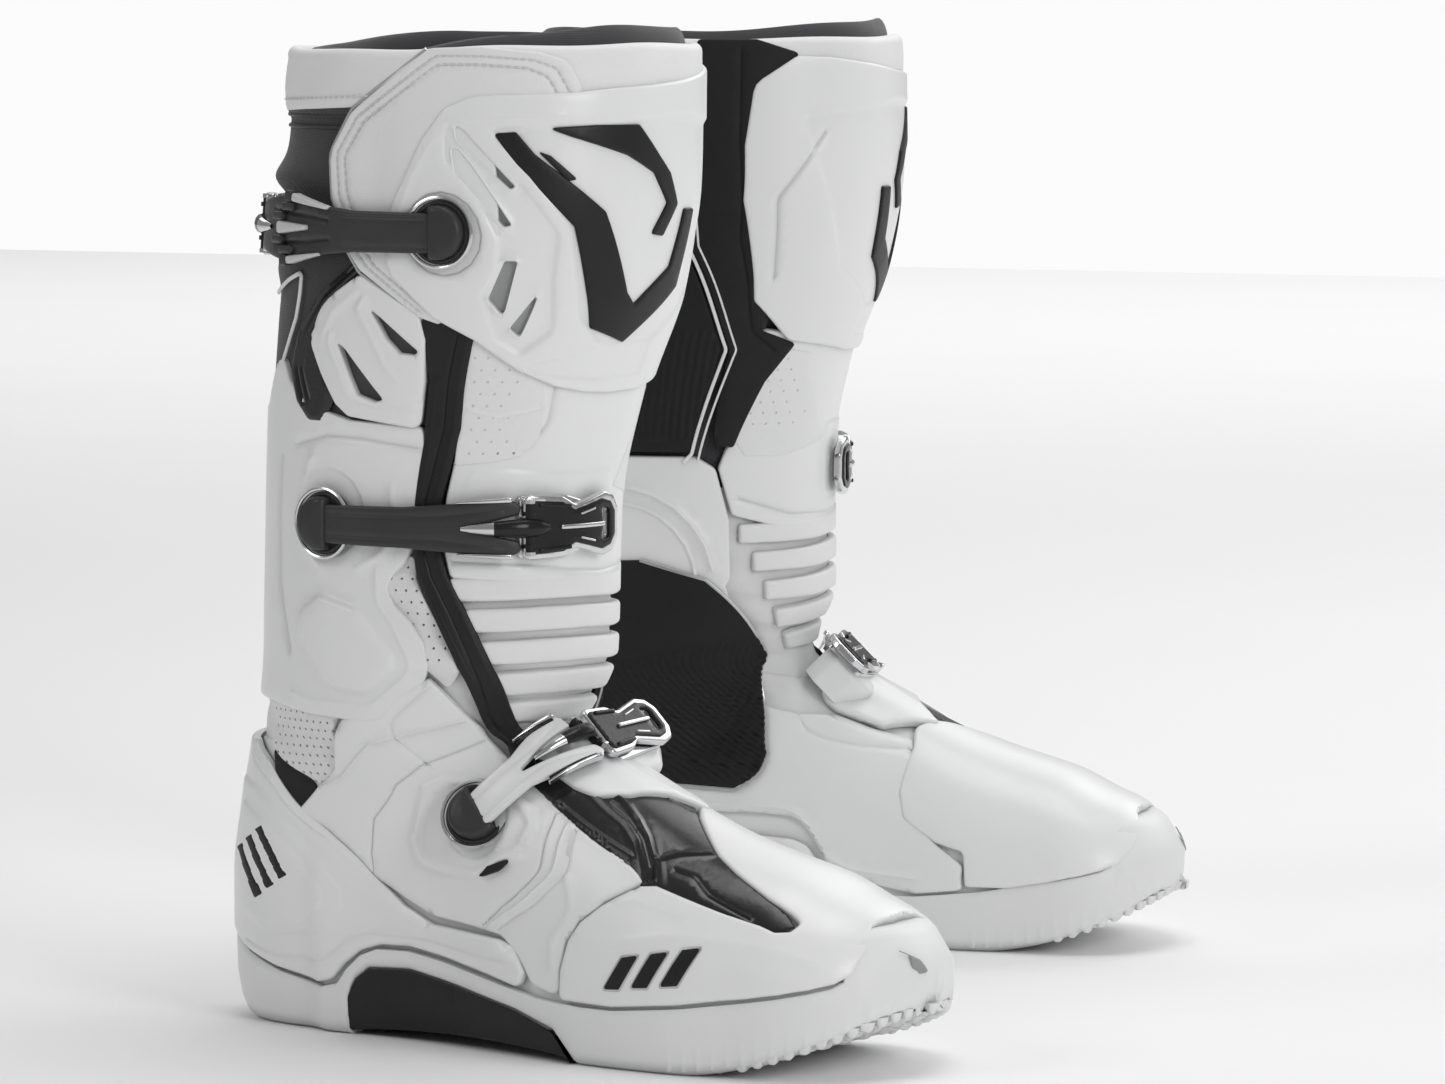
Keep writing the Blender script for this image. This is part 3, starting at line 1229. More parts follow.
def outsole():
    """White outsole: a rand with a toe bumper round a bottom that is open under the arch."""
    columns = 760
    s = np.linspace(-1, 1, columns + 1)[:-1]
    x = MAP.at(s, np.full(columns, 22.0))[0][:, 0]
    roof = ramp(ARCH_ROOF, x) * ((x > 71) & (x < 186))
    heel = 7.0 * np.clip((16.0 - x) / 16.0, 0, 1) ** 1.6
    bottom = np.maximum(np.maximum(toe_spring(x), roof), heel)
    top = ramp(SOLE_TOP, x)
    ripple = 0.8 * (np.sin(x / 1.9) ** 8) * (x > 226)
    rows, heights = [], []
    profile = ((0.0, -4.5), (0.0, 0.2), (0.03, 0.8), (0.12, 1.0), (0.5, 1.2), (0.8, 0.6), (0.93, -0.6),
               (1.0, -3.2))
    for share, height in profile:
        rows.append(top + (bottom + 0.05 - top) * share)
        heights.append(np.full(columns, height))
    heights[5] += ripple * 0.25
    heights[6] += ripple
    toe = ease(296, 311, x)
    for k in (2, 3, 4):
        heights[k] += 1.4 * toe
    rings = []
    for z, h in zip(rows, heights):
        p, n = MAP.at(s, z)
        level = n.copy()
        level[:, 2] = 0
        level /= np.linalg.norm(level, axis=1, keepdims=True)
        rings.append(p + level * h[:, None])
    inset = rings[-1].copy()
    inset[:, 1] += (foot_centre(inset[:, 0]) - inset[:, 1]) * 0.12
    inset[:, 2] = bottom + 0.05
    rings.append(inset)
    shape = Shape()
    count = columns
    faces = quads(len(rings), count)
    last = (len(rings) - 1) * count
    half = count // 2
    for k in range(half - 1):
        a, b = half + k, half - k
        c, d = half + k + 1, half - k - 1
        if k == 0:
            faces.append((last + a, last + d, last + c))
        else:
            faces.append((last + b, last + d, last + c, last + a))
    faces.append((last + 1, last, last + count - 1))
    shape.add(np.concatenate(rings), [f[::-1] for f in faces])
    stand("outsole", shape, "foot", [SOLE_WHITE], ["outsole"], sharp=42)
    lugs()


def foot_centre(x):
    """Middle line of the foot, straight behind the forefoot."""
    return np.where(x < 110, 0.0, foot_y(np.maximum(x, 110)))


def block(shape, centre, size, turn=0.0, chamfer=0.8):
    """Small tread block with bevelled edges; centre is the middle of its underside."""
    ca, sa = math.cos(turn), math.sin(turn)
    verts = []
    for z, grow in ((size[2], 0.6), (chamfer, 0.0), (0.0, -chamfer)):
        a, b = size[0] / 2 + grow, size[1] / 2 + grow
        c = min(a, b) * 0.35
        for x, y in ((a, b - c), (a - c, b), (c - a, b), (-a, b - c), (-a, c - b), (c - a, -b), (a - c, -b),
                     (a, c - b)):
            verts.append((centre[0] + x * ca - y * sa, centre[1] + x * sa + y * ca, centre[2] + z))
    shape.add(verts, ends(3, 8) + quads(3, 8))


def lugs():
    """Tread: small blocks in rows under the forefoot and the heel, and knobs up the toe."""
    shape = Shape()
    for x in np.arange(196, 306, 8.5):
        half = float(foot_w(x) * toe_round(np.array([x]), 2.3)[0]) - 7.0
        middle = float(foot_y(x))
        rise = float(toe_spring(x))
        if half < 6:
            continue
        for k, y in enumerate(np.linspace(-half, half, max(2, int(half / 5.5)))):
            block(shape, (x, middle + y, rise + 0.02), (5.2, 6.6, 3.2), 0.25 * (-1) ** k)
    for x in np.arange(14, 68, 8.5):
        wide = 20 if x > 20 else 13
        for k, y in enumerate(np.linspace(-wide, wide, 5)):
            block(shape, (x, y, 0.02 + 7.0 * max(0, (16.0 - x) / 16.0) ** 1.6), (5.6, 6.6, 3.0),
                  0.2 * (-1) ** k)
    p, n = MAP.at(np.linspace(-0.22, 0.22, 26), np.full(26, 25.0))
    for q, way in zip(p, n):
        x = q[0] - way[0] * 3.5
        block(shape, (x, q[1] - way[1] * 3.5, float(toe_spring(x)) - 1.0), (4.6, 4.2, 4.0),
              math.atan2(way[1], way[0]), 1.2)
    stand("sole_lugs", shape, "foot", [SOLE_WHITE])


def arch_insert():
    """Dark arch insert, let into the sole between the heel and the ball."""
    shape = Shape()
    for where in (outer, inner):
        xs = np.linspace(71.6, 185.4, 70)
        roof = ramp(ARCH_ROOF, xs) - 0.15
        floor = 1.0 + 3.5 * np.clip(np.sin(math.pi * (xs - 71.6) / 113.8), 0.0, 1.0) ** 0.6
        floor = np.minimum(floor, roof - 0.05)
        grid = []
        for share, depth in ((0.0, -0.4), (0.04, 0.15), (0.5, -0.2), (0.92, -1.2), (1.0, -2.6),
                             (1.0, -30.0)):
            z = roof + (floor - roof) * share
            row = []
            for x, height in zip(xs, z):
                p, n = MAP.at(*[np.array([v]) for v in where(x, max(height, 0.5))])
                level = n[0] * [1, 1, 0]
                level /= np.linalg.norm(level)
                q = p[0] + level * depth
                row.append((q[0], q[1], height))
            grid.append(row)
        flat = np.array(grid).reshape(-1, 3)
        count = len(xs)
        faces = quads(len(grid), count, closed=False)
        if where is outer:
            faces = [f[::-1] for f in faces]
        shape.add(flat, [f[::-1] for f in faces])
    stand("arch_insert", shape, "foot", [BLACK], ["arch_insert"])


# ---------------------------------------------------------------- pieces: foot
def foot_under():
    """White lasted upper under all the foot's moulded plates."""
    levels = [*np.arange(12, 56, 4.0), *np.arange(56, 84, 1.0), *np.arange(84, 100, 2.0), 104, 108, 112]
    around = np.linspace(-1, 1, 721)
    clear = toe_spring(MAP.at(around, np.full(721, 30.0))[0][:, 0]) + 6.0
    rows = [((lambda s, z=z: np.maximum(z, np.interp(s, around, clear))), -2.6) for z in levels]
    rows += [(113.0, -3.2), (113.0, -5.0), (106.0, -5.5), (100.0, -5.5)]
    shape = sleeve(rows, columns=220)
    stand("foot_upper", shape, "foot", [WHITE_SOFT])


SHELL_OUT = [(50, 86), (63, 97.5, 3), (72, 105), (77.5, 124, 3), (88, 134), (112, 140), (117.5, 142.5, 2),
             (126, 132), (133, 122), (142, 111), (152, 104), (161, 99), (180, 88), (202, 78), (212, 70.5),
             (198, 62.5), (188, 55), (182.5, 46), (180.5, 36), (180, 25), (166, 29), (158, 40), (150, 46),
             (136, 48), (115, 50), (100, 56), (85, 63), (66, 79)]
BOSS = [(117, 104.5), (108.5, 100), (106, 92), (103, 79), (106.5, 69.5), (121, 66.5), (138, 66.5),
        (148, 73), (157, 76), (163, 86), (160, 95), (147, 100), (133, 103)]
BOSS_IN = [(120, 101), (113, 97), (109, 88), (108, 76), (111, 71), (137, 70), (146, 76), (155, 80),
           (158, 88), (150, 97), (134, 99)]


def foot_shell():
    """Moulded foot shell: the outer side with its strap boss, and the inner side with the ankle ear."""
    lines = [mark([(132, 128), (103, 119.5), (90, 116), (84, 110.5), (75, 102), (64, 97)], 1.1, 0.9,
                  radius=8),
             mark([(134, 119), (109, 108), (98, 100), (87, 86), (84.5, 72), (85.5, 62)], 0.8, -0.8,
                  radius=8),
             mark([(118, 140), (100, 125), (112, 108)], 0.8, -0.45, radius=3),
             mark([(168, 93), (164, 69), (150, 57), (136, 46)], 0.8, -0.9, radius=10),
             mark([(175, 89), (168, 66), (153, 55), (139, 46)], 1.2, 1.1, radius=10),
             mark([(179, 87), (171.5, 64), (156, 53), (143, 45)], 0.8, -0.6, radius=10),
             mark([(180, 70), (184, 58), (175, 46), (177, 36)], 2.2, 0.7, radius=8)]
    shape = panel(side(SHELL_OUT), lift=0.6, thick=3.2, edge=1.2, step=2.8, radius=4, bumps=lines,
                  terraces=[Terrace(side(BOSS), 2.1, 1.6, 5), Terrace(side(BOSS_IN), -1.2, 1.5, 5),
                            Terrace(side(oval(134, 87.5, 14.6, 14.0)), -0.8, 1.0, 1)])
    ear = side(arc(PIVOT_X, PIVOT_Z, 44, 0.05, math.pi - 0.3, 14), inner)[::-1]
    inner_line = ([(127, 112), (134, 100), (150, 97), (166, 97), (180, 92), (199, 87), (200, 84, 3),
                   (196, 64, 6), (212, 46, 8), (226, 36), (227, 26), (205, 23.5), (176, 29), (165, 36),
                   (152, 54), (136, 55), (108, 55), (85, 63), (66, 79), (50, 88), (44, 100), (42, 125),
                   (38, 150)])
    lines = [mark([(205, 30), (176, 33), (163, 39), (151, 57), (136, 58), (110, 58)], 1.5, 0.9, 6, inner),
             mark([(146, 106), (148, 100), (155, 88), (178, 84), (198, 83)], 1.3, -0.7, 8, inner)]
    lines += [mark(arc(PIVOT_X, PIVOT_Z, r, 0.0, 2.7, 12), 1.5, h, where=inner)
              for r, h in ((38, -1.5), (33, 1.4))]
    panel(side(inner_line, inner) + ear + [inner(125, 135)], lift=0.6, thick=3.2, edge=1.2, step=3.2,
          radius=4, shape=shape, bumps=lines)
    stand("foot_shell", shape, "foot", [WHITE], ["foot_shell"], sharp=50)
    slot = panel(side([(138, 66.5), (143, 71.5), (153.5, 75.5), (148, 70)]), lift=2.9, thick=1.6, edge=0.3,
                 step=1.4, radius=0.8)
    stand("boss_slot", slot, "foot", [INLAY])


def heel_counter():
    """Heel counter: a smooth stepped plate wrapped round the heel, with a plain three-bar inlay."""
    line = [(163, 33, 2), (157, 42, 3), (150, 44.5), (136, 45.5), (114, 47), (100, 53), (88, 61.5),
            (65, 80.5), (51, 90), (38, 104), (25, 112.5, 6)]
    back = [rear(14, 113.5) + (0,), rear(-14, 113.5) + (0,)]
    low = [(10, 34), (20, 29), (37, 24), (60, 20), (66, 21.5), (72, 28), (80, 34), (90, 37), (104, 37.5),
           (122, 35), (145, 30.5), (160, 27)]
    inner_line = [wrap(p[:2]) for p in side(line, inner)]
    inner_low = [wrap(p[:2]) for p in side(low, inner)]
    outline = (side(line) + back + inner_line[::-1] + inner_low[::-1] + [rear(-10, 38), rear(10, 38)]
               + side(low))
    plate = side([(17, 97), (30, 94), (44, 84.5), (71.5, 57, 4), (72, 50, 4), (61, 39.5, 5), (37, 37),
                  (18, 43), (12, 60)])
    second = side([(20, 88), (36, 81.5), (63, 56.5, 4), (63, 52, 4), (53, 41.8, 5), (36, 40.5), (20, 45),
                   (15, 62)])
    shape = panel(outline, lift=2.0, thick=3.4, edge=1.5, step=3.0, radius=4,
                  terraces=[Terrace(plate, 0.8, 1.3, 4), Terrace(second, 0.7, 1.2, 4)],
                  bumps=[mark([(20, 33), (37, 28.5), (62, 28.5), (74, 38), (84, 40.5), (114, 40.5),
                               (138, 37), (152, 36)], 1.0, -0.5, radius=6),
                         mark([(26, 106), (38, 98), (52, 85), (66, 77)], 1.0, -0.4, radius=6)])
    stand("heel_counter", shape, "foot", [WHITE], ["heel_counter"], sharp=50)
    bars = Shape()
    for k in (-1, 0, 1):
        x, z = 31.0 + 6.6 * k, 65.0 + 4.4 * k
        bar = [(x - 8.2, z + 8.2), (x - 3.6, z + 10.6), (x + 8.2, z - 8.2), (x + 3.6, z - 10.6)]
        panel(side(bar), lift=3.75, thick=1.6, edge=0.5, step=1.4, radius=1.0, shape=bars)
    stand("heel_badge", bars, "foot", [INLAY])


def toe_cap():
    """Toe cap: one smooth moulded form from the ball of the foot to the bumper."""
    grid = OnFoot()
    left = [(180.5, 24.5), (181, 36, 3), (184, 47, 4), (189, 54.5), (198, 61.5), (212, 69, 3),
            (218, 69.3, 3), (233, 64.8), (248, 60.5), (262, 57.2, 2), (268, 55, 2), (273, 55.2, 2),
            (275, 58, 2)]
    top = [(32, 61), (31.5, 66), (27, 74), (22, 79.5), (11, 86), (2, 90), (-8, 92.2),
           (-20, 90.5)]
    inner_edge = [(200, 83.5), (196.5, 66), (199, 55, 3), (213.5, 45.5, 4), (226, 42, 3), (227, 27.5, 2),
                  (245, 27.5), (262, 30.5), (276, 33.5), (284, 35.5), (291, 38), (295, 43)]
    bumper = [(-26, 50), (-18, 56.5), (0, 57.5), (14, 56)]
    low = [(297.6, 48), (296, 40), (291.5, 37), (284, 35), (274, 33), (262, 31), (235, 27), (205, 24)]
    fold = places([(12, 64), (-14, 66), (-30, 60), (-18, 58), (0, 58.5)])
    outline = (side(left) + places(top) + side(inner_edge, inner) + places(bumper) + side(low))
    shape = panel(outline, lift=1.3, thick=3.6, edge=1.3, step=3.0, radius=3, grid=grid,
                  bumps=[mark([(182, 37), (183, 49), (192, 60), (211, 65), (232, 60)], 3.0, 0.6, radius=8),
                         mark([(188, 50), (200, 47), (230, 52), (262, 50), (285, 44)], 2.4, 0.35,
                              radius=14)],
                  terraces=[Terrace(fold, 0.0, 1.0, 3)])
    stand("toe_cap", shape, "foot", [WHITE], ["toe_cap"], sharp=50)
    bars = Shape()
    for k in range(3):
        x = 202 + 12.5 * k
        bar = [(x, 30.5 + 1.4 * k), (x + 8, 43 + 2.2 * k), (x + 15.5, 44.5 + 2.0 * k),
               (x + 7.5, 31 + 1.6 * k)]
        panel(side(bar), lift=1.9, thick=1.4, edge=0.5, step=1.4, radius=1.0, shape=bars, grid=grid)
    stand("toe_badge", bars, "foot", [INLAY])
    rim = Shape()
    for k in range(3):
        x = 202 + 12.5 * k
        bar = [(x - 0.9, 29.8 + 1.4 * k), (x + 7.6, 43.9 + 2.2 * k), (x + 16.6, 45.3 + 2.0 * k),
               (x + 7.8, 30.2 + 1.6 * k)]
        panel(side(bar), lift=1.55, thick=1.4, edge=0.3, step=2.0, radius=1.2, shape=rim, grid=grid)
    stand("toe_badge_rim", rim, "foot", [SILVER])


def toe_bumper_recess():
    """Shallow dark hollow let into the front of the bumper."""
    hollow = places([(8, 45), (13, 47.5), (4, 43), (1, 38.5), (6, 38.5), (9, 41)])
    shape = panel(hollow, lift=2.75, thick=0.9, edge=0.3, step=1.2, radius=1.2)
    stand("bumper_hollow", shape, "foot", [HOLE_GREY])


VAMP_LOW = [(142, 111), (152, 104), (161, 98.5), (180, 87.2), (202, 77), (211, 69.5), (218, 68.6),
            (233, 64), (248, 59.8), (264, 55.8, 2), (271, 54.4, 3)]
VAMP_TOP = [(34.5, 56.5), (32.5, 61.5), (31, 66.5), (26, 74.5), (20, 80.5), (9, 86.8),
            (-9, 93.2), (-6, 97), (10, 101), (20, 105)]


def vamp_flex():
    """Glossy dark flex panel over the outer side of the instep, with moulded cords."""
    grid = OnFoot()
    outline = side(VAMP_LOW) + places(VAMP_TOP) + side([(147, 113)])
    cords = [mark([(160, 110), (172, 104), (184, 96.5), (196, 90), (204, 84), (212, 74), (215, 66)], 2.0,
                  1.5, radius=8),
             mark([(168, 108), (190, 97), (199, 91), (206, 85.5), (215, 76), (220, 66)], 2.0, 1.5,
                  radius=8),
             mark([(150, 108), (163, 99), (181, 89.5), (204, 79)], 1.4, 0.8, radius=8),
             Bump(side([(214, 78.5), (220, 80), (226, 80)]) + places([(22, 80)]), 1.3, 0.8, radius=3),
             mark([(222, 75), (230, 73), (238, 67), (257, 59.5)], 1.0, -0.7, radius=6),
             Bump(places([(2, 96.5), (-1, 91.5)]), 1.0, 0.6)]
    shape = panel(outline, lift=-0.1, thick=3.0, edge=1.0, step=2.4, radius=3, grid=grid, bumps=cords)
    stand("vamp_flex", shape, "foot", [FLEX], ["vamp_flex"], sharp=60)


def instep_plate():
    """White plate across the instep that carries the low buckle's catch."""
    grid = OnFoot()
    out_edge = side([(161, 111.0, 3), (159.5, 108.5, 3), (164, 105.0), (171, 101.5, 5), (181, 98.2, 4),
                     (190, 98.2)])
    front_edge = places([(14, 98.6), (3, 97.2), (-7, 92.5), (-10, 90.5)])
    inner_edge = side([(200, 92), (186, 91), (166, 98), (160, 102.5, 6), (158, 108, 4)], inner)
    top = places([(-14, 113), (6, 113.5), (18, 112.5)])
    shape = panel(out_edge + front_edge + inner_edge + top, lift=2.4, thick=3.8, edge=1.4, step=2.5,
                  radius=4, grid=grid, bumps=[Bump(places([(6, 116), (2, 104), (-2, 97)]), 2.4, 0.7)])
    stand("instep_plate", shape, "foot", [WHITE], ["instep_plate"], sharp=50)


RIB_PITCH = 3.4


def grips():
    """Black rubber grip panels of the inner side, with fine ribs and a plain rim."""
    high = [(64, 210), (111, 210, 2), (125.5, 254, 3), (113, 295, 2), (64, 295), (58, 252)]
    grid = OnSkin(252)

    def ribbed_high(uv, p):
        field = ease(2.2, 4.0, np.minimum(p[:, 2] - 212.0, 293.0 - p[:, 2]))
        rib = 0.9 * np.abs(np.sin(math.pi * uv[:, 0] / RIB_PITCH)) ** 2
        cross = 0.25 * np.abs(np.sin(math.pi * uv[:, 1] / 2.6))
        return field * (p[:, 2] < 262) * (rib + cross)
    shape = panel(side(high, inner), lift=1.2, thick=3.0, edge=1.0, step=1.15, radius=2, grid=grid,
                  extra=ribbed_high)
    stand("grip_panel_upper", shape, "shaft", [BLACK_MATT], ["grip_panel_upper"], sharp=60)

    def ribbed_low(uv, p):
        field = (p[:, 2] < 124 + 0.22 * (p[:, 0] - 96)) * ease(66, 69, p[:, 2])
        rib = np.abs(np.sin(math.pi * uv[:, 0] / RIB_PITCH)) ** 2
        cross = 0.5 * np.abs(np.sin(math.pi * (uv[:, 1] + uv[:, 0] * 0.3) / 3.0))
        return field * (rib + cross)
    low = [(66, 163), (89, 164, 2), (116, 156, 3), (136.5, 122, 4), (138.5, 80, 4), (125, 64.5, 3),
           (96, 66), (64, 90), (58, 128), (58, 150)]
    shape = panel(side(low, inner), lift=2.4, thick=2.6, edge=1.0, step=1.3, radius=3, grid=OnSkin(110),
                  extra=ribbed_low)
    stand("grip_panel_lower", shape, "foot", [BLACK_MATT], ["grip_panel_lower"], sharp=60)
    rim = Shape()
    piping(side(low[1:7], inner), 2.0, 1.6, rim, radius=4)
    stand("grip_rim_lower", rim, "foot", [SILVER])
    line = Shape()
    piping(side([(108, 206), (111.5, 209.5), (127, 254), (114, 297), (111, 330), (112, 360)], inner), 1.6,
           1.5, line, radius=3)
    piping(side([(114, 207), (131, 254), (118, 298), (115.5, 330), (116.5, 360)], inner), 1.6, 1.0, line,
           radius=3)
    stand("grip_rim_upper", line, "shaft", [WHITE_SOFT])


def inner_strip():
    """Black panel of the inner side, from the rim down to the shin guard."""
    edge = [(119, 384), (143, 384), (160, 378), (144, 364), (140, 340), (139, 317), (141, 262), (153, 256),
            (141, 240), (128, 212), (120, 213), (128, 254), (115, 297), (112, 330), (113, 360)]
    shape = panel(side(edge, inner), lift=1.7, thick=3.0, edge=0.9, step=3.0, radius=2,
                  bumps=[mark([(137, 380), (136, 340), (135, 300), (137, 262), (145, 254)], 0.9, -0.6,
                              radius=8, where=inner)])
    stand("inner_strip", shape, "shaft", [BLACK_MATT], sharp=60)
    rear_cover = panel(side([(113, 352), (111, 330), (114, 297), (62, 297), (50, 320), (46, 352)], inner),
                       lift=-0.6, thick=2.0, edge=0.9, step=4)
    stand("inner_rear_panel", rear_cover, "shaft", [BLACK_MATT])


# ---------------------------------------------------------------- pieces: ankle
RIBS = [(176.0, 3.4, 2.2), (163.0, 4.4, 3.0), (149.5, 4.4, 3.0), (136.5, 4.2, 2.8), (124.5, 4.0, 2.4)]


def ankle_bellows():
    """Ankle bellows: perforated textile at the sides and back, ribbed like an accordion in front."""
    levels = np.arange(100.0, 196.0, 1.5)

    def height(s, z):
        share = np.exp(-(np.minimum(np.abs(s), 1) / 0.30) ** 4)
        wave = sum(0.45 * h * np.exp(-((z - 6.0 * (1 - share) - c) / w) ** 4) for c, w, h in RIBS)
        soft = 0.5 * np.sin(z / 6.5 + 3.0 * s) + 0.3 * np.sin(z / 3.1 - 8 * s)
        return -3.6 + share * wave + (1 - share) * soft
    rows = [(float(z), (lambda s, z=z: height(s, z))) for z in levels]
    rows += [(194.0, -6.8)] + [(float(z), -7.0) for z in np.arange(188.0, 99.0, -4.0)]
    shape = sleeve(rows, columns=360)
    stand("ankle_bellows", shape, "shaft", [PALE_MESH], ["ankle_bellows"], blend=ANKLE)
    ribs = Shape()
    for z in (177.0, 165.0, 152.5, 140.0, 128.5):
        x = float(np.interp(z, (119, 129, 147, 167, 182), (144, 139.5, 137, 130.5, 123.5)))
        half = 4.6 if z > 130 else 4.0
        outline = (side([(x, z - half, 1.5), (x, z + half, 1.5)])
                   + places([(22, z + half + 0.6), (0, z + half), (-22, z + half - 1.2)])
                   + side([(x + 4, z + half - 2.5, 1.5), (x + 4, z - half - 1.5, 1.5)], inner)
                   + places([(-22, z - half - 1.2), (0, z - half), (22, z - half + 0.4)]))
        panel(outline, lift=0.4, thick=3.4, edge=1.6, step=2.0, radius=2, shape=ribs)
    stand("ankle_ribs", ribs, "shaft", [WHITE_SOFT], blend=ANKLE)
    spots = []
    for row in range(14):
        for k in range(12):
            x, z = 40 + 3.6 * k + (row % 2) * 1.8, 99 + 3.4 * row
            if x < 78 and 106 - 1.9 * (x - 40) < z < 140 and z > 110 - (x - 40) * 0.9:
                spots.append((outer(x, z), 0.45))
    patch = [(34, 133), (34, 118), (41, 107), (52, 97), (66, 96), (76, 104), (82, 134), (60, 136)]
    shape = panel(side(patch), lift=-1.0, thick=1.6, edge=0.5, step=2.4, radius=2, pricks=spots,
                  extra=lambda uv, p: 0.8 * np.sin((p[:, 2] + 0.25 * p[:, 0]) / 3.6))
    stand("ankle_mesh_rear", shape, "shaft", [PALE_MESH, HOLE], blend=ANKLE)
    shape = panel(side([(39, 111), (46, 106.5), (63, 98.5), (53, 86), (40, 98)]), lift=0.0, thick=1.4,
                  edge=0.5, step=2.4)
    stand("achilles_patch", shape, "foot", [BLACK_MATT])
    spots = [(outer(x + (r % 2) * 2.1, 150 + 4.4 * r), 0.45) for r in range(9)
             for x in np.arange(101, 123, 4.2)]
    patch = [(98, 186), (112, 190), (113, 181), (120, 167), (130, 147), (124, 138), (112, 150), (98, 170)]
    loop = np.array(patch, float)
    keep = []
    for place, r in spots:
        x = MAP.at(np.array([place[0]]), np.array([place[1]]))[0][0][0]
        if inside(np.array([[x, place[1]]]), loop)[0]:
            keep.append((place, r))
    shape = panel(side(patch), lift=-0.6, thick=1.6, edge=0.5, step=2.4, radius=2, pricks=keep,
                  extra=lambda uv, p: 1.1 * np.sin((p[:, 2] + 0.4 * p[:, 0]) / 3.4))
    stand("ankle_mesh_front", shape, "shaft", [PALE_MESH, HOLE], blend=ANKLE)


STRIP_LEFT = [(119, 282), (121, 257), (117.3, 233), (113.2, 211), (112, 194), (114, 181), (120, 167),
              (128.5, 147), (132.5, 131), (139, 117), (144, 108)]
STRIP_RIGHT = [(158, 103), (151, 112), (146, 119), (141.5, 129), (140, 147), (132.5, 167), (125.5, 182),
               (122.5, 194), (123.5, 211), (126.5, 222), (131.5, 239), (134.5, 258), (139.5, 275),
               (130, 282)]


def side_strip():
    """Long black rubber strip of the outer side, from the shin plate across the ankle to the vamp."""
    outline = side(STRIP_LEFT + STRIP_RIGHT)
    left_line = [(x + 2.4, z) for x, z in STRIP_LEFT[1:-1]]
    right_line = [(x - 2.4, z) for x, z in STRIP_RIGHT[1:-1]]
    shape = panel(outline, lift=1.3, thick=3.4, edge=1.0, step=2.0, radius=2,
                  bumps=[mark(left_line, 1.3, 0.6, radius=8),
                         mark(right_line, 1.3, 0.5, radius=8),
                         mark([(x - 6.2, z) for x, z in STRIP_RIGHT[2:-1]], 0.7, -0.5, radius=8)])
    stand("side_strip", shape, "shaft", [INLAY], blend=ANKLE, sharp=60)


for make in (outsole, arch_insert, foot_under, foot_shell, heel_counter, toe_cap, toe_bumper_recess,
             vamp_flex, instep_plate, grips, inner_strip, ankle_bellows, side_strip):
    make()


# ---------------------------------------------------------------- pieces: buckles
TOP_HEIGHT, MID_HEIGHT = 314.0, 201.0     # the two level straps
STRAP_LIFT = 4.2                          # the straps' undersides above the skin
TILT = 0.7071                             # sine and cosine of 45 degrees


class Band:
    """Flat millimetres for a strap: u along a path on the skin from the disc, v across it."""

    def __init__(self, points, start):
        p = settle(points, 3)
        run = np.concatenate([[0], np.cumsum(np.linalg.norm(np.diff(p, axis=0), axis=1))])
        self.run = run - run[np.argmin(np.linalg.norm(p - start, axis=1))]
        self.p = p
        self.t = np.gradient(p, axis=0)

    def flat(self, place):
        return tuple(place)

    def middle(self, u):
        p = np.stack([np.interp(u, self.run, self.p[:, k]) for k in range(3)], -1)
        t = np.stack([np.interp(u, self.run, self.t[:, k]) for k in range(3)], -1)
        t /= np.linalg.norm(t, axis=1, keepdims=True)
        n = gradient(p)[0]
        n -= t * (n * t).sum(1, keepdims=True)
        n /= np.linalg.norm(n, axis=1, keepdims=True)
        return p, t, n

    def at(self, uv):
        p, t, n = self.middle(uv[:, 0])
        flat = p + uv[:, 1:2] * np.cross(n, t)
        stiff = settle(flat, 2)
        stiff = flat + n * ((stiff - flat) * n).sum(1, keepdims=True) * 0.75
        return stiff, n

    def u_of(self, point):
        return float(self.run[np.argmin(np.linalg.norm(self.p - point, axis=1))])


class Flat:
    """Flat millimetres on a plane: centre, direction of u, and normal."""

    def __init__(self, centre, along, normal):
        self.c = np.array(centre, float)
        self.n = np.array(normal, float) / np.linalg.norm(normal)
        e = np.array(along, float)
        e -= self.n * (e @ self.n)
        self.e = e / np.linalg.norm(e)
        self.f = np.cross(self.n, self.e)

    def flat(self, place):
        return tuple(place)

    def at(self, uv):
        return (self.c + uv[:, :1] * self.e + uv[:, 1:2] * self.f), np.tile(self.n, (len(uv), 1))


def level_path(z, start, end):
    """Level path on the skin at one height, from one place to another."""
    s = np.linspace(start, end, 260)
    return MAP.at(s, np.full(len(s), z))[0]


def instep_path():
    """The low strap's path: a plane tilted 45 degrees, from the outer side over the instep."""
    turn = np.radians(np.linspace(100, -75, 260))
    ray = np.stack([np.cos(turn) * TILT, np.sin(turn), np.cos(turn) * TILT], -1)
    start = np.tile([122.0, 0.0, 76.0], (len(turn), 1))
    return SkinMap.shoot(start, ray)


def joint_place(name):
    """A joint's point in boot millimetres, read from the frame's right boot."""
    origin, axes = PLACES["right"]
    return (np.array(JOINTS["right_" + name]["pos_m"], float) - origin) @ axes.T / MM


def joint_axis(name):
    """A joint's direction on the right boot's axes, turned to face outwards."""
    axes = PLACES["right"][1]
    way = np.array(JOINTS["right_" + name]["axis"], float) @ axes.T
    return way if way[1] > 0 else -way


def ring(shape, grid, radius, lift, thick):
    """Round wire standing on a grid, round its centre."""
    turn = np.linspace(0, FULL_TURN, 49)[:-1]
    p, n = grid.at(np.stack([radius * np.cos(turn), radius * np.sin(turn)], -1))
    return sweep(p + n * lift, n, circle(thick / 2, 8), True, 0, shape)


def round_outline(radius, count=36):
    return [p + (0,) for p in arc(0, 0, radius, 0, FULL_TURN, count + 1)[:-1]]


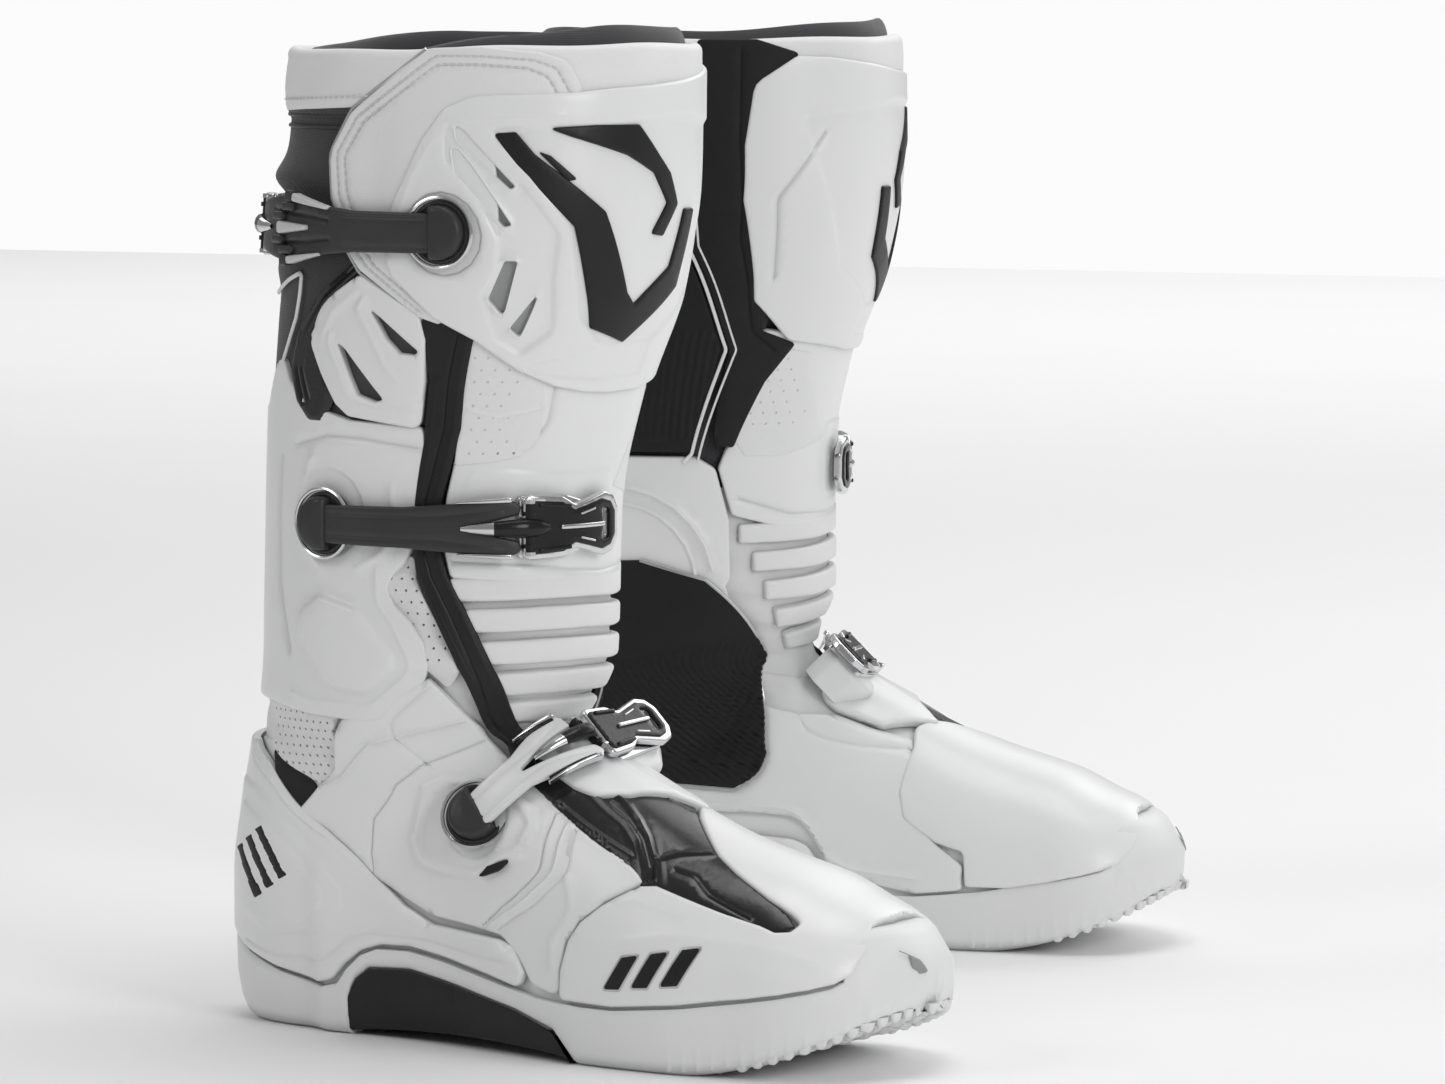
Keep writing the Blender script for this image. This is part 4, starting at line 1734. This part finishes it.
def strap_disc(tag, centre, way, along):
    """Round strap anchor with a domed cap, cut straight towards its strap, and a bright ring."""
    grid = Flat(centre, along, way)
    shape = panel(round_outline(12.3), lift=0.9, thick=3.4, edge=1.0, step=2.0, radius=0, grid=grid,
                  terraces=[Terrace(round_outline(10.6, 24), -0.5, 0.5, 0)])
    cap = [p + (0,) for p in arc(0, 0, 10.4, 1.25, FULL_TURN - 1.25, 28)]
    panel(cap, lift=5.6, thick=5.6, edge=2.2, step=1.5, radius=0.8, grid=grid, crown=1.3, shape=shape)
    stand("%s_disc" % tag, shape, "%s_disc" % tag, [FLEX_SATIN], ["%s_disc" % tag], sharp=55)
    bright = ring(Shape(), grid, 13.3, 1.1, 1.7)
    stand("%s_disc_ring" % tag, bright, "%s_disc" % tag, [METAL])


def bar(shape, grid, a, b, half, lift, height, mat=0, pointed=False, edge=0.5):
    """Long low bar on a band from u, v to u, v."""
    a, b = np.array(a, float), np.array(b, float)
    t = (b - a) / np.linalg.norm(b - a)
    n = np.array([-t[1], t[0]]) * half
    tip = 0.35 if pointed else 1.0
    outline = [tuple(a + n * tip), tuple(a - n * tip), tuple(b - n), tuple(b + n)]
    return panel(outline, lift=lift, thick=height, edge=edge, step=1.4, radius=half * 0.7, grid=grid,
                 mat=mat, shape=shape)


def bone(start, length, wide, waist, tip):
    """Outline of a lever: wide at its hinge, waisted, and flared and rounded at its tip."""
    u = [start, start + 0.06 * length, start + 0.34 * length, start + 0.46 * length, start + 0.80 * length,
         start + 0.93 * length, start + length]
    v = [wide * 0.9, wide, wide * 0.92, waist, tip, tip * 0.86, tip * 0.45]
    return [(a, b) for a, b in zip(u, v)] + [(a, -b) for a, b in zip(reversed(u), reversed(v))]


def lever(tag, band, start, length, wide, low):
    """Over-centre lever: a bright frame with a dark liner, a loop at its tip and a bright middle rod."""
    outline = bone(start, length, wide, wide * 0.66, wide * 0.98)
    hole = [(start + 0.74 * length, wide * 0.52), (start + 0.86 * length, wide * 0.44),
            (start + 0.86 * length, -wide * 0.44), (start + 0.74 * length, -wide * 0.52),
            (start + 0.77 * length, 0.0)]
    shape = panel([p + (2.5,) for p in outline], lift=low + 2.6, thick=2.8, edge=0.9, step=1.7, grid=band,
                  holes=[hole])
    inlay = bone(start + 0.03 * length, 0.91 * length, wide * 0.82, wide * 0.5, wide * 0.78)
    panel([p + (2.0,) for p in inlay], lift=low + 3.2, thick=1.6, edge=0.6, step=1.6, grid=band,
          holes=[hole], mat=1, shape=shape)
    bar(shape, band, (start + 0.30 * length, 0), (start + 0.76 * length, 0), 0.9, low + 4.4, 1.8, 0)
    for sign in (1, -1):
        bar(shape, band, (start + 0.12 * length, sign * wide * 0.7),
            (start + 0.40 * length, sign * wide * 0.62), 0.8, low + 4.0, 1.2, 1)
        bar(shape, band, (start + 0.50 * length, sign * wide * 0.36),
            (start + 0.66 * length, sign * wide * 0.5), 0.45, low + 3.7, 0.9, 0)
    stand("%s_lever" % tag, shape, "%s_lever" % tag, [METAL, LEVER_BLACK],
          ["%s_lever" % tag], sharp=50)


def barrel(tag, band, start, wide, low):
    """Cross pin and the pointed dark tongue that joins a strap to its lever."""
    shape = Shape()
    us = np.linspace(start - 24.0, start + 7.0, 26)
    p, n = band.at(np.stack([us, np.zeros(len(us))], -1))
    share = (us - us[0]) / (us[-1] - us[0])
    width = np.interp(share, (0, 0.12, 0.4, 0.7, 0.9, 1), (0.25, 0.5, 0.85, 1.15, 0.9, 0.4))
    sweep(p + n * (low + 2.6 + 1.2 * np.sin(math.pi * share))[:, None], n, circle(3.4, 12, 0.72), False, 1,
          shape, scale=width)
    count = int(len(us) * 0.42)
    sweep((p + n * (low + 2.75 + 1.2 * np.sin(math.pi * share))[:, None])[:count], n[:count],
          circle(3.5, 12, 0.72), False, 0, shape, scale=width[:count])
    vs = np.linspace(-wide, wide, 15)
    p, n = band.at(np.stack([np.full(15, start), vs], -1))
    line = p.mean(0) + np.outer(vs, (p[-1] - p[0]) / np.linalg.norm(p[-1] - p[0]))
    up = np.tile(n[7], (15, 1))
    line = line + up * (low + 1.4) + up * float(((p - line) * up).sum(1).max())
    sweep(line, up, circle(2.3, 12), False, 1, shape)
    for part in (slice(0, 2), slice(13, 15)):
        sweep(line[part], up[part], circle(2.6, 12), False, 0, shape)
    for v in (-0.55 * wide, 0.55 * wide):
        near = np.argmin(np.abs(vs - v))
        sweep(line[near:near + 2], up[near:near + 2], circle(3.1, 12), False, 1, shape)
    stand("%s_pin" % tag, shape, "%s_strap" % tag, [METAL, LEVER_BLACK])


def fork(start, end, first, last, notch):
    """Strap outline: runs from under its disc, widens, and splits into two arms at its end."""
    run = end - start
    edge = [(start, first), (start + 0.45 * run, first * 1.06), (start + 0.68 * run, last * 0.93),
            (start + 0.84 * run, last), (end - 3.0, last * 1.04, 2.5), (end, last * 0.82, 2.5),
            (end - 1.5, last * 0.5, 2)]
    split = [(end - notch * 0.45, last * 0.34), (end - notch, 0.9, 1)]
    top = edge + split
    return top + [(p[0], -p[1]) + tuple(p[2:]) for p in reversed(top)]


def mid_and_low():
    """Middle and low buckle: a forked strap from its disc, a pin, and a lever on a stepped catch."""
    first = 7.4
    for tag, path, last, look, slot, wide in (
            ("mid", level_path(MID_HEIGHT, 0.75, -0.4), 10.0, STRAP, "strap_dark", 12.6),
            ("low", instep_path(), 13.0, WHITE_STRAP, "strap_white", 11.4)):
        disc_at = joint_place(tag + "_swivel")
        hinge = joint_place(tag + "_open")
        band = Band(path, disc_at)
        end = band.u_of(hinge)
        way = joint_axis(tag + "_swivel")
        along = band.middle(np.array([2.0]))[1][0]
        strap_disc(tag, disc_at + way * (1.6 if tag == "low" else -0.2), way, along)
        low = STRAP_LIFT
        notch = 27.0 if tag == "low" else 17.0
        outline = fork(1.5, end - 1.0, first, last, notch)
        grooves = [Bump([(4, k * first * 0.55), (end * 0.6, k * first * 0.6), (end - 8, k * last * 0.72)],
                        0.9, -0.3)
                   for k in (1, -1)]
        shape = panel(outline, lift=low + 2.4, thick=2.4, edge=0.9, step=2.2, radius=3, grid=band,
                      bumps=grooves)
        for sign in (1, -1):
            bar(shape, band, (end - 24, sign * (last * 0.99)), (end - 5, sign * (last + 0.9)), 1.1,
                low + 3.4, 2.2, 1, pointed=True)
            if tag == "low":
                bar(shape, band, (end - 23, sign * (last * 0.86)), (end - 6, sign * (last * 0.95)), 0.5,
                    low + 2.9, 0.8, 2)
        stand("%s_strap" % tag, shape, "%s_strap" % tag, [look, METAL, LEVER_BLACK],
              ["%s_strap" % tag], sharp=50)
        barrel(tag, band, end + 1.5, wide * 0.86, low)
        if tag == "mid":
            lever(tag, band, end - 1.0, 45.0, wide, low)
            mid_catch(band, end, wide)
        else:
            foot = band.middle(np.array([end]))[0][0]
            grid = Flat(foot + np.array([2.6, 0.0, 1.4]), (0.05, -1.0, 0.02), (0.70, 0.10, 0.70))
            lever(tag, grid, 0.0, 41.0, wide, low + 0.6)
            boss = panel([(-6, -8), (14, -9), (32, -8, 3), (37, -2, 3), (37, 10, 3), (30, 19, 5),
                          (-2, 20, 4), (-10, 8, 4)],
                         lift=low - 2.2, thick=15.0, edge=3.5, step=2.0, radius=3, grid=grid)
            stand("low_boss", boss, "foot", [WHITE])
            plate = panel([(2, -wide * 0.9, 2), (34, -wide * 0.8, 3), (35, wide * 0.9, 3),
                           (6, wide * 1.15, 2)],
                          lift=low - 0.4, thick=2.2, edge=0.8, step=2.0, grid=grid)
            for k in range(4):
                u = 8 + 6.5 * k
                bar(plate, grid, (u, wide * 0.5), (u, -wide * 0.5), 0.9, low + 1.9, 1.6)
            stand("low_catch", plate, "foot", [METAL])


def mid_catch(band, end, wide):
    """Bright stepped catch plate under the middle lever."""
    length = 40.0
    half, tip = end + length * 0.45, end + length * 0.9
    outline = [(end - 2, wide * 0.96, 2), (half, wide * 0.93), (tip, wide * 0.5, 5), (tip, -wide * 0.5, 5),
               (half, -wide * 0.93), (end - 2, -wide * 0.96, 2)]
    shape = panel(outline, lift=4.0, thick=2.6, edge=0.8, step=2.4, grid=band)
    for k in range(4):
        u = end + 4 + 6.5 * k
        bar(shape, band, (u, wide * 0.55), (u, -wide * 0.55), 0.9, 5.2, 1.6, 0)
    stand("mid_catch", shape, "shaft", [METAL], ["shaft_catches"])


def top_buckle():
    """Top strap: runs back from its disc, fans out into grey-tipped claws, and hooks on at the back."""
    disc_at = joint_place("top_swivel")
    hinge = joint_place("top_open")
    band = Band(level_path(TOP_HEIGHT, 0.05, 1.4), disc_at)
    end = band.u_of(hinge)
    way = joint_axis("top_swivel")
    along = band.middle(np.array([2.0]))[1][0]
    strap_disc("top", disc_at - way * 0.2, way, along)
    low = STRAP_LIFT
    first = 7.6
    edge = [(1.5, first), (36, first * 1.04), (50, 9.3), (62, 12.2), (72, 13.0, 2.5), (79, 12.2, 2),
            (end - 2, 8.5, 2), (end - 1, 3.4, 1.5)]
    outline = edge + [(u[0], -u[1]) + tuple(u[2:]) for u in reversed(edge)]
    fingers = [Bump([(48, 3.6), (62, 5.2), (80, 6.4)], 1.2, -1.0, radius=6),
               Bump([(48, -3.6), (62, -5.2), (80, -6.4)], 1.2, -1.0, radius=6),
               Bump([(2, 5.6), (40, 5.8)], 0.8, -0.3), Bump([(2, -5.6), (40, -5.8)], 0.8, -0.3)]
    shape = panel(outline, lift=low + 2.4, thick=2.4, edge=0.9, step=1.8, radius=4, grid=band,
                  bumps=fingers)
    bar(shape, band, (47, 8.6), (66, 12.2), 1.7, low + 4.4, 3.4, 1, pointed=True, edge=0.8)
    bar(shape, band, (66, 12.2), (71, 12.6), 2.3, low + 4.2, 3.2, 0, edge=0.8)
    bar(shape, band, (52, -9.2), (70, -12.2), 1.6, low + 4.4, 3.4, 1, pointed=True, edge=0.8)
    bar(shape, band, (70, -12.2), (75, -12.4), 2.2, low + 4.2, 3.2, 0, edge=0.8)
    bar(shape, band, (58, 0.8), (76, 0.2), 2.6, low + 4.8, 3.8, 1, pointed=True, edge=0.9)
    for u, v in ((70, 8.4), (77, 4.6), (78, -4.4), (72, -8.2)):
        bar(shape, band, (u - 5, v), (u + 3, v), 1.7, low + 4.4, 3.6, 0, edge=1.0)
    stand("top_strap", shape, "top_strap", [STRAP, CLAW], ["top_strap"], sharp=50)
    barrel("top", band, end + 1.5, 11.5, low)
    lever("top", band, end - 1.0, 36.0, 12.4, low)
    catch_shape = panel([(end - 2, 12), (end + 20, 11.5), (end + 34, 6, 5), (end + 34, -6, 5),
                         (end + 20, -11.5), (end - 2, -12)], lift=3.4, thick=2.6, edge=0.8, step=2.4,
                        radius=2, grid=band)
    stand("top_catch", catch_shape, "shaft", [METAL])


mid_and_low()
top_buckle()


def dress_solids():
    """Looks of the CAD solids that no visual piece replaces."""
    for name, look in (("shank_plate", METAL_DARK), ("footbed", TEXTILE), ("inner_boot_foot", LINING)):
        for side in SIDES:
            solid = frame["nodes"]["%s_%s" % (side, name)]
            solid.data.materials.clear()
            solid.data.materials.append(look)


dress_solids()


# ---------------------------------------------------------------- floor, light and camera
bpy.context.scene.view_settings.view_transform = "Standard"
FLOOR = 6.0
SKY_LIGHT, SKY_SEEN = 0.27, 0.97          # the sky's strength as light and as background
AIM = (0.05, -0.05, 0.2)
LAMPS = (("key_left", (-1.5, -1.6, 1.7), (1.0, 1.0), 9.0), ("top", (0.2, 0.1, 2.2), (1.2, 1.2), 15.0),
         ("front_right", (1.9, -1.2, 1.0), (0.8, 1.0), 15.0), ("rim", (0.6, 1.8, 1.3), (1.0, 1.0), 5.0),
         ("floor_wash", (0.9, 5.2, 3.0), (12.0, 6.0), 280.0))


def studio():
    """Pale floor, white surroundings and the lamps."""
    mesh = bpy.data.meshes.new("floor")
    mesh.from_pydata([(-FLOOR, -FLOOR, 0), (FLOOR, -FLOOR, 0), (FLOOR, FLOOR, 0), (-FLOOR, FLOOR, 0)], [],
                     [(0, 1, 2, 3)])
    m = Nodes("floor_paper")
    colour = m.blend(m.noise(3.0, 3.0), (0.93, 0.93, 0.93), (0.91, 0.91, 0.91))
    mesh.materials.append(m.finish(colour, m.spread(m.noise(80.0), 0.7, 0.85)))
    floor = bpy.data.objects.new("floor", mesh)
    bpy.context.scene.collection.objects.link(floor)
    world = bpy.data.worlds.new("studio")
    world.use_nodes = True
    sky = world.node_tree.nodes["Background"]
    sky.inputs["Color"].default_value = (1.0, 1.0, 1.0, 1)
    seen = world.node_tree.nodes.new("ShaderNodeLightPath")
    level = world.node_tree.nodes.new("ShaderNodeMapRange")
    level.inputs["To Min"].default_value = SKY_LIGHT
    level.inputs["To Max"].default_value = SKY_SEEN
    world.node_tree.links.new(seen.outputs["Is Camera Ray"], level.inputs["Value"])
    world.node_tree.links.new(level.outputs["Result"], sky.inputs["Strength"])
    bpy.context.scene.world = world
    for name, place, size, power in LAMPS:
        light = bpy.data.lights.new(name, "AREA")
        light.shape = "RECTANGLE"
        light.size, light.size_y = size
        light.energy = power
        lamp = bpy.data.objects.new(name, light)
        lamp.location = place
        aim = Vector((0, 0, -1)) if name == "floor_wash" else Vector(AIM) - Vector(place)
        lamp.rotation_euler = aim.to_track_quat("-Z", "Y").to_euler()
        bpy.context.scene.collection.objects.link(lamp)


studio()

AZIMUTH, ELEVATION = math.radians(23.48), math.radians(4.97)
DISTANCE = 2.48955
target = to_world([(40.0, 0.0, 0.0)], "right")[0] + np.array([0.19265, -0.0635, 0.19968])
look = np.array([math.sin(AZIMUTH) * math.cos(ELEVATION), -math.cos(AZIMUTH) * math.cos(ELEVATION),
                 math.sin(ELEVATION)])
lens = bpy.data.cameras.new("camera")
lens.lens = 165.75
lens.sensor_width = 36.0
camera = bpy.data.objects.new("camera", lens)
camera.location = target + DISTANCE * look
camera.rotation_euler = Vector(look).to_track_quat("Z", "Y").to_euler()
bpy.context.scene.collection.objects.link(camera)
bpy.context.scene.camera = camera
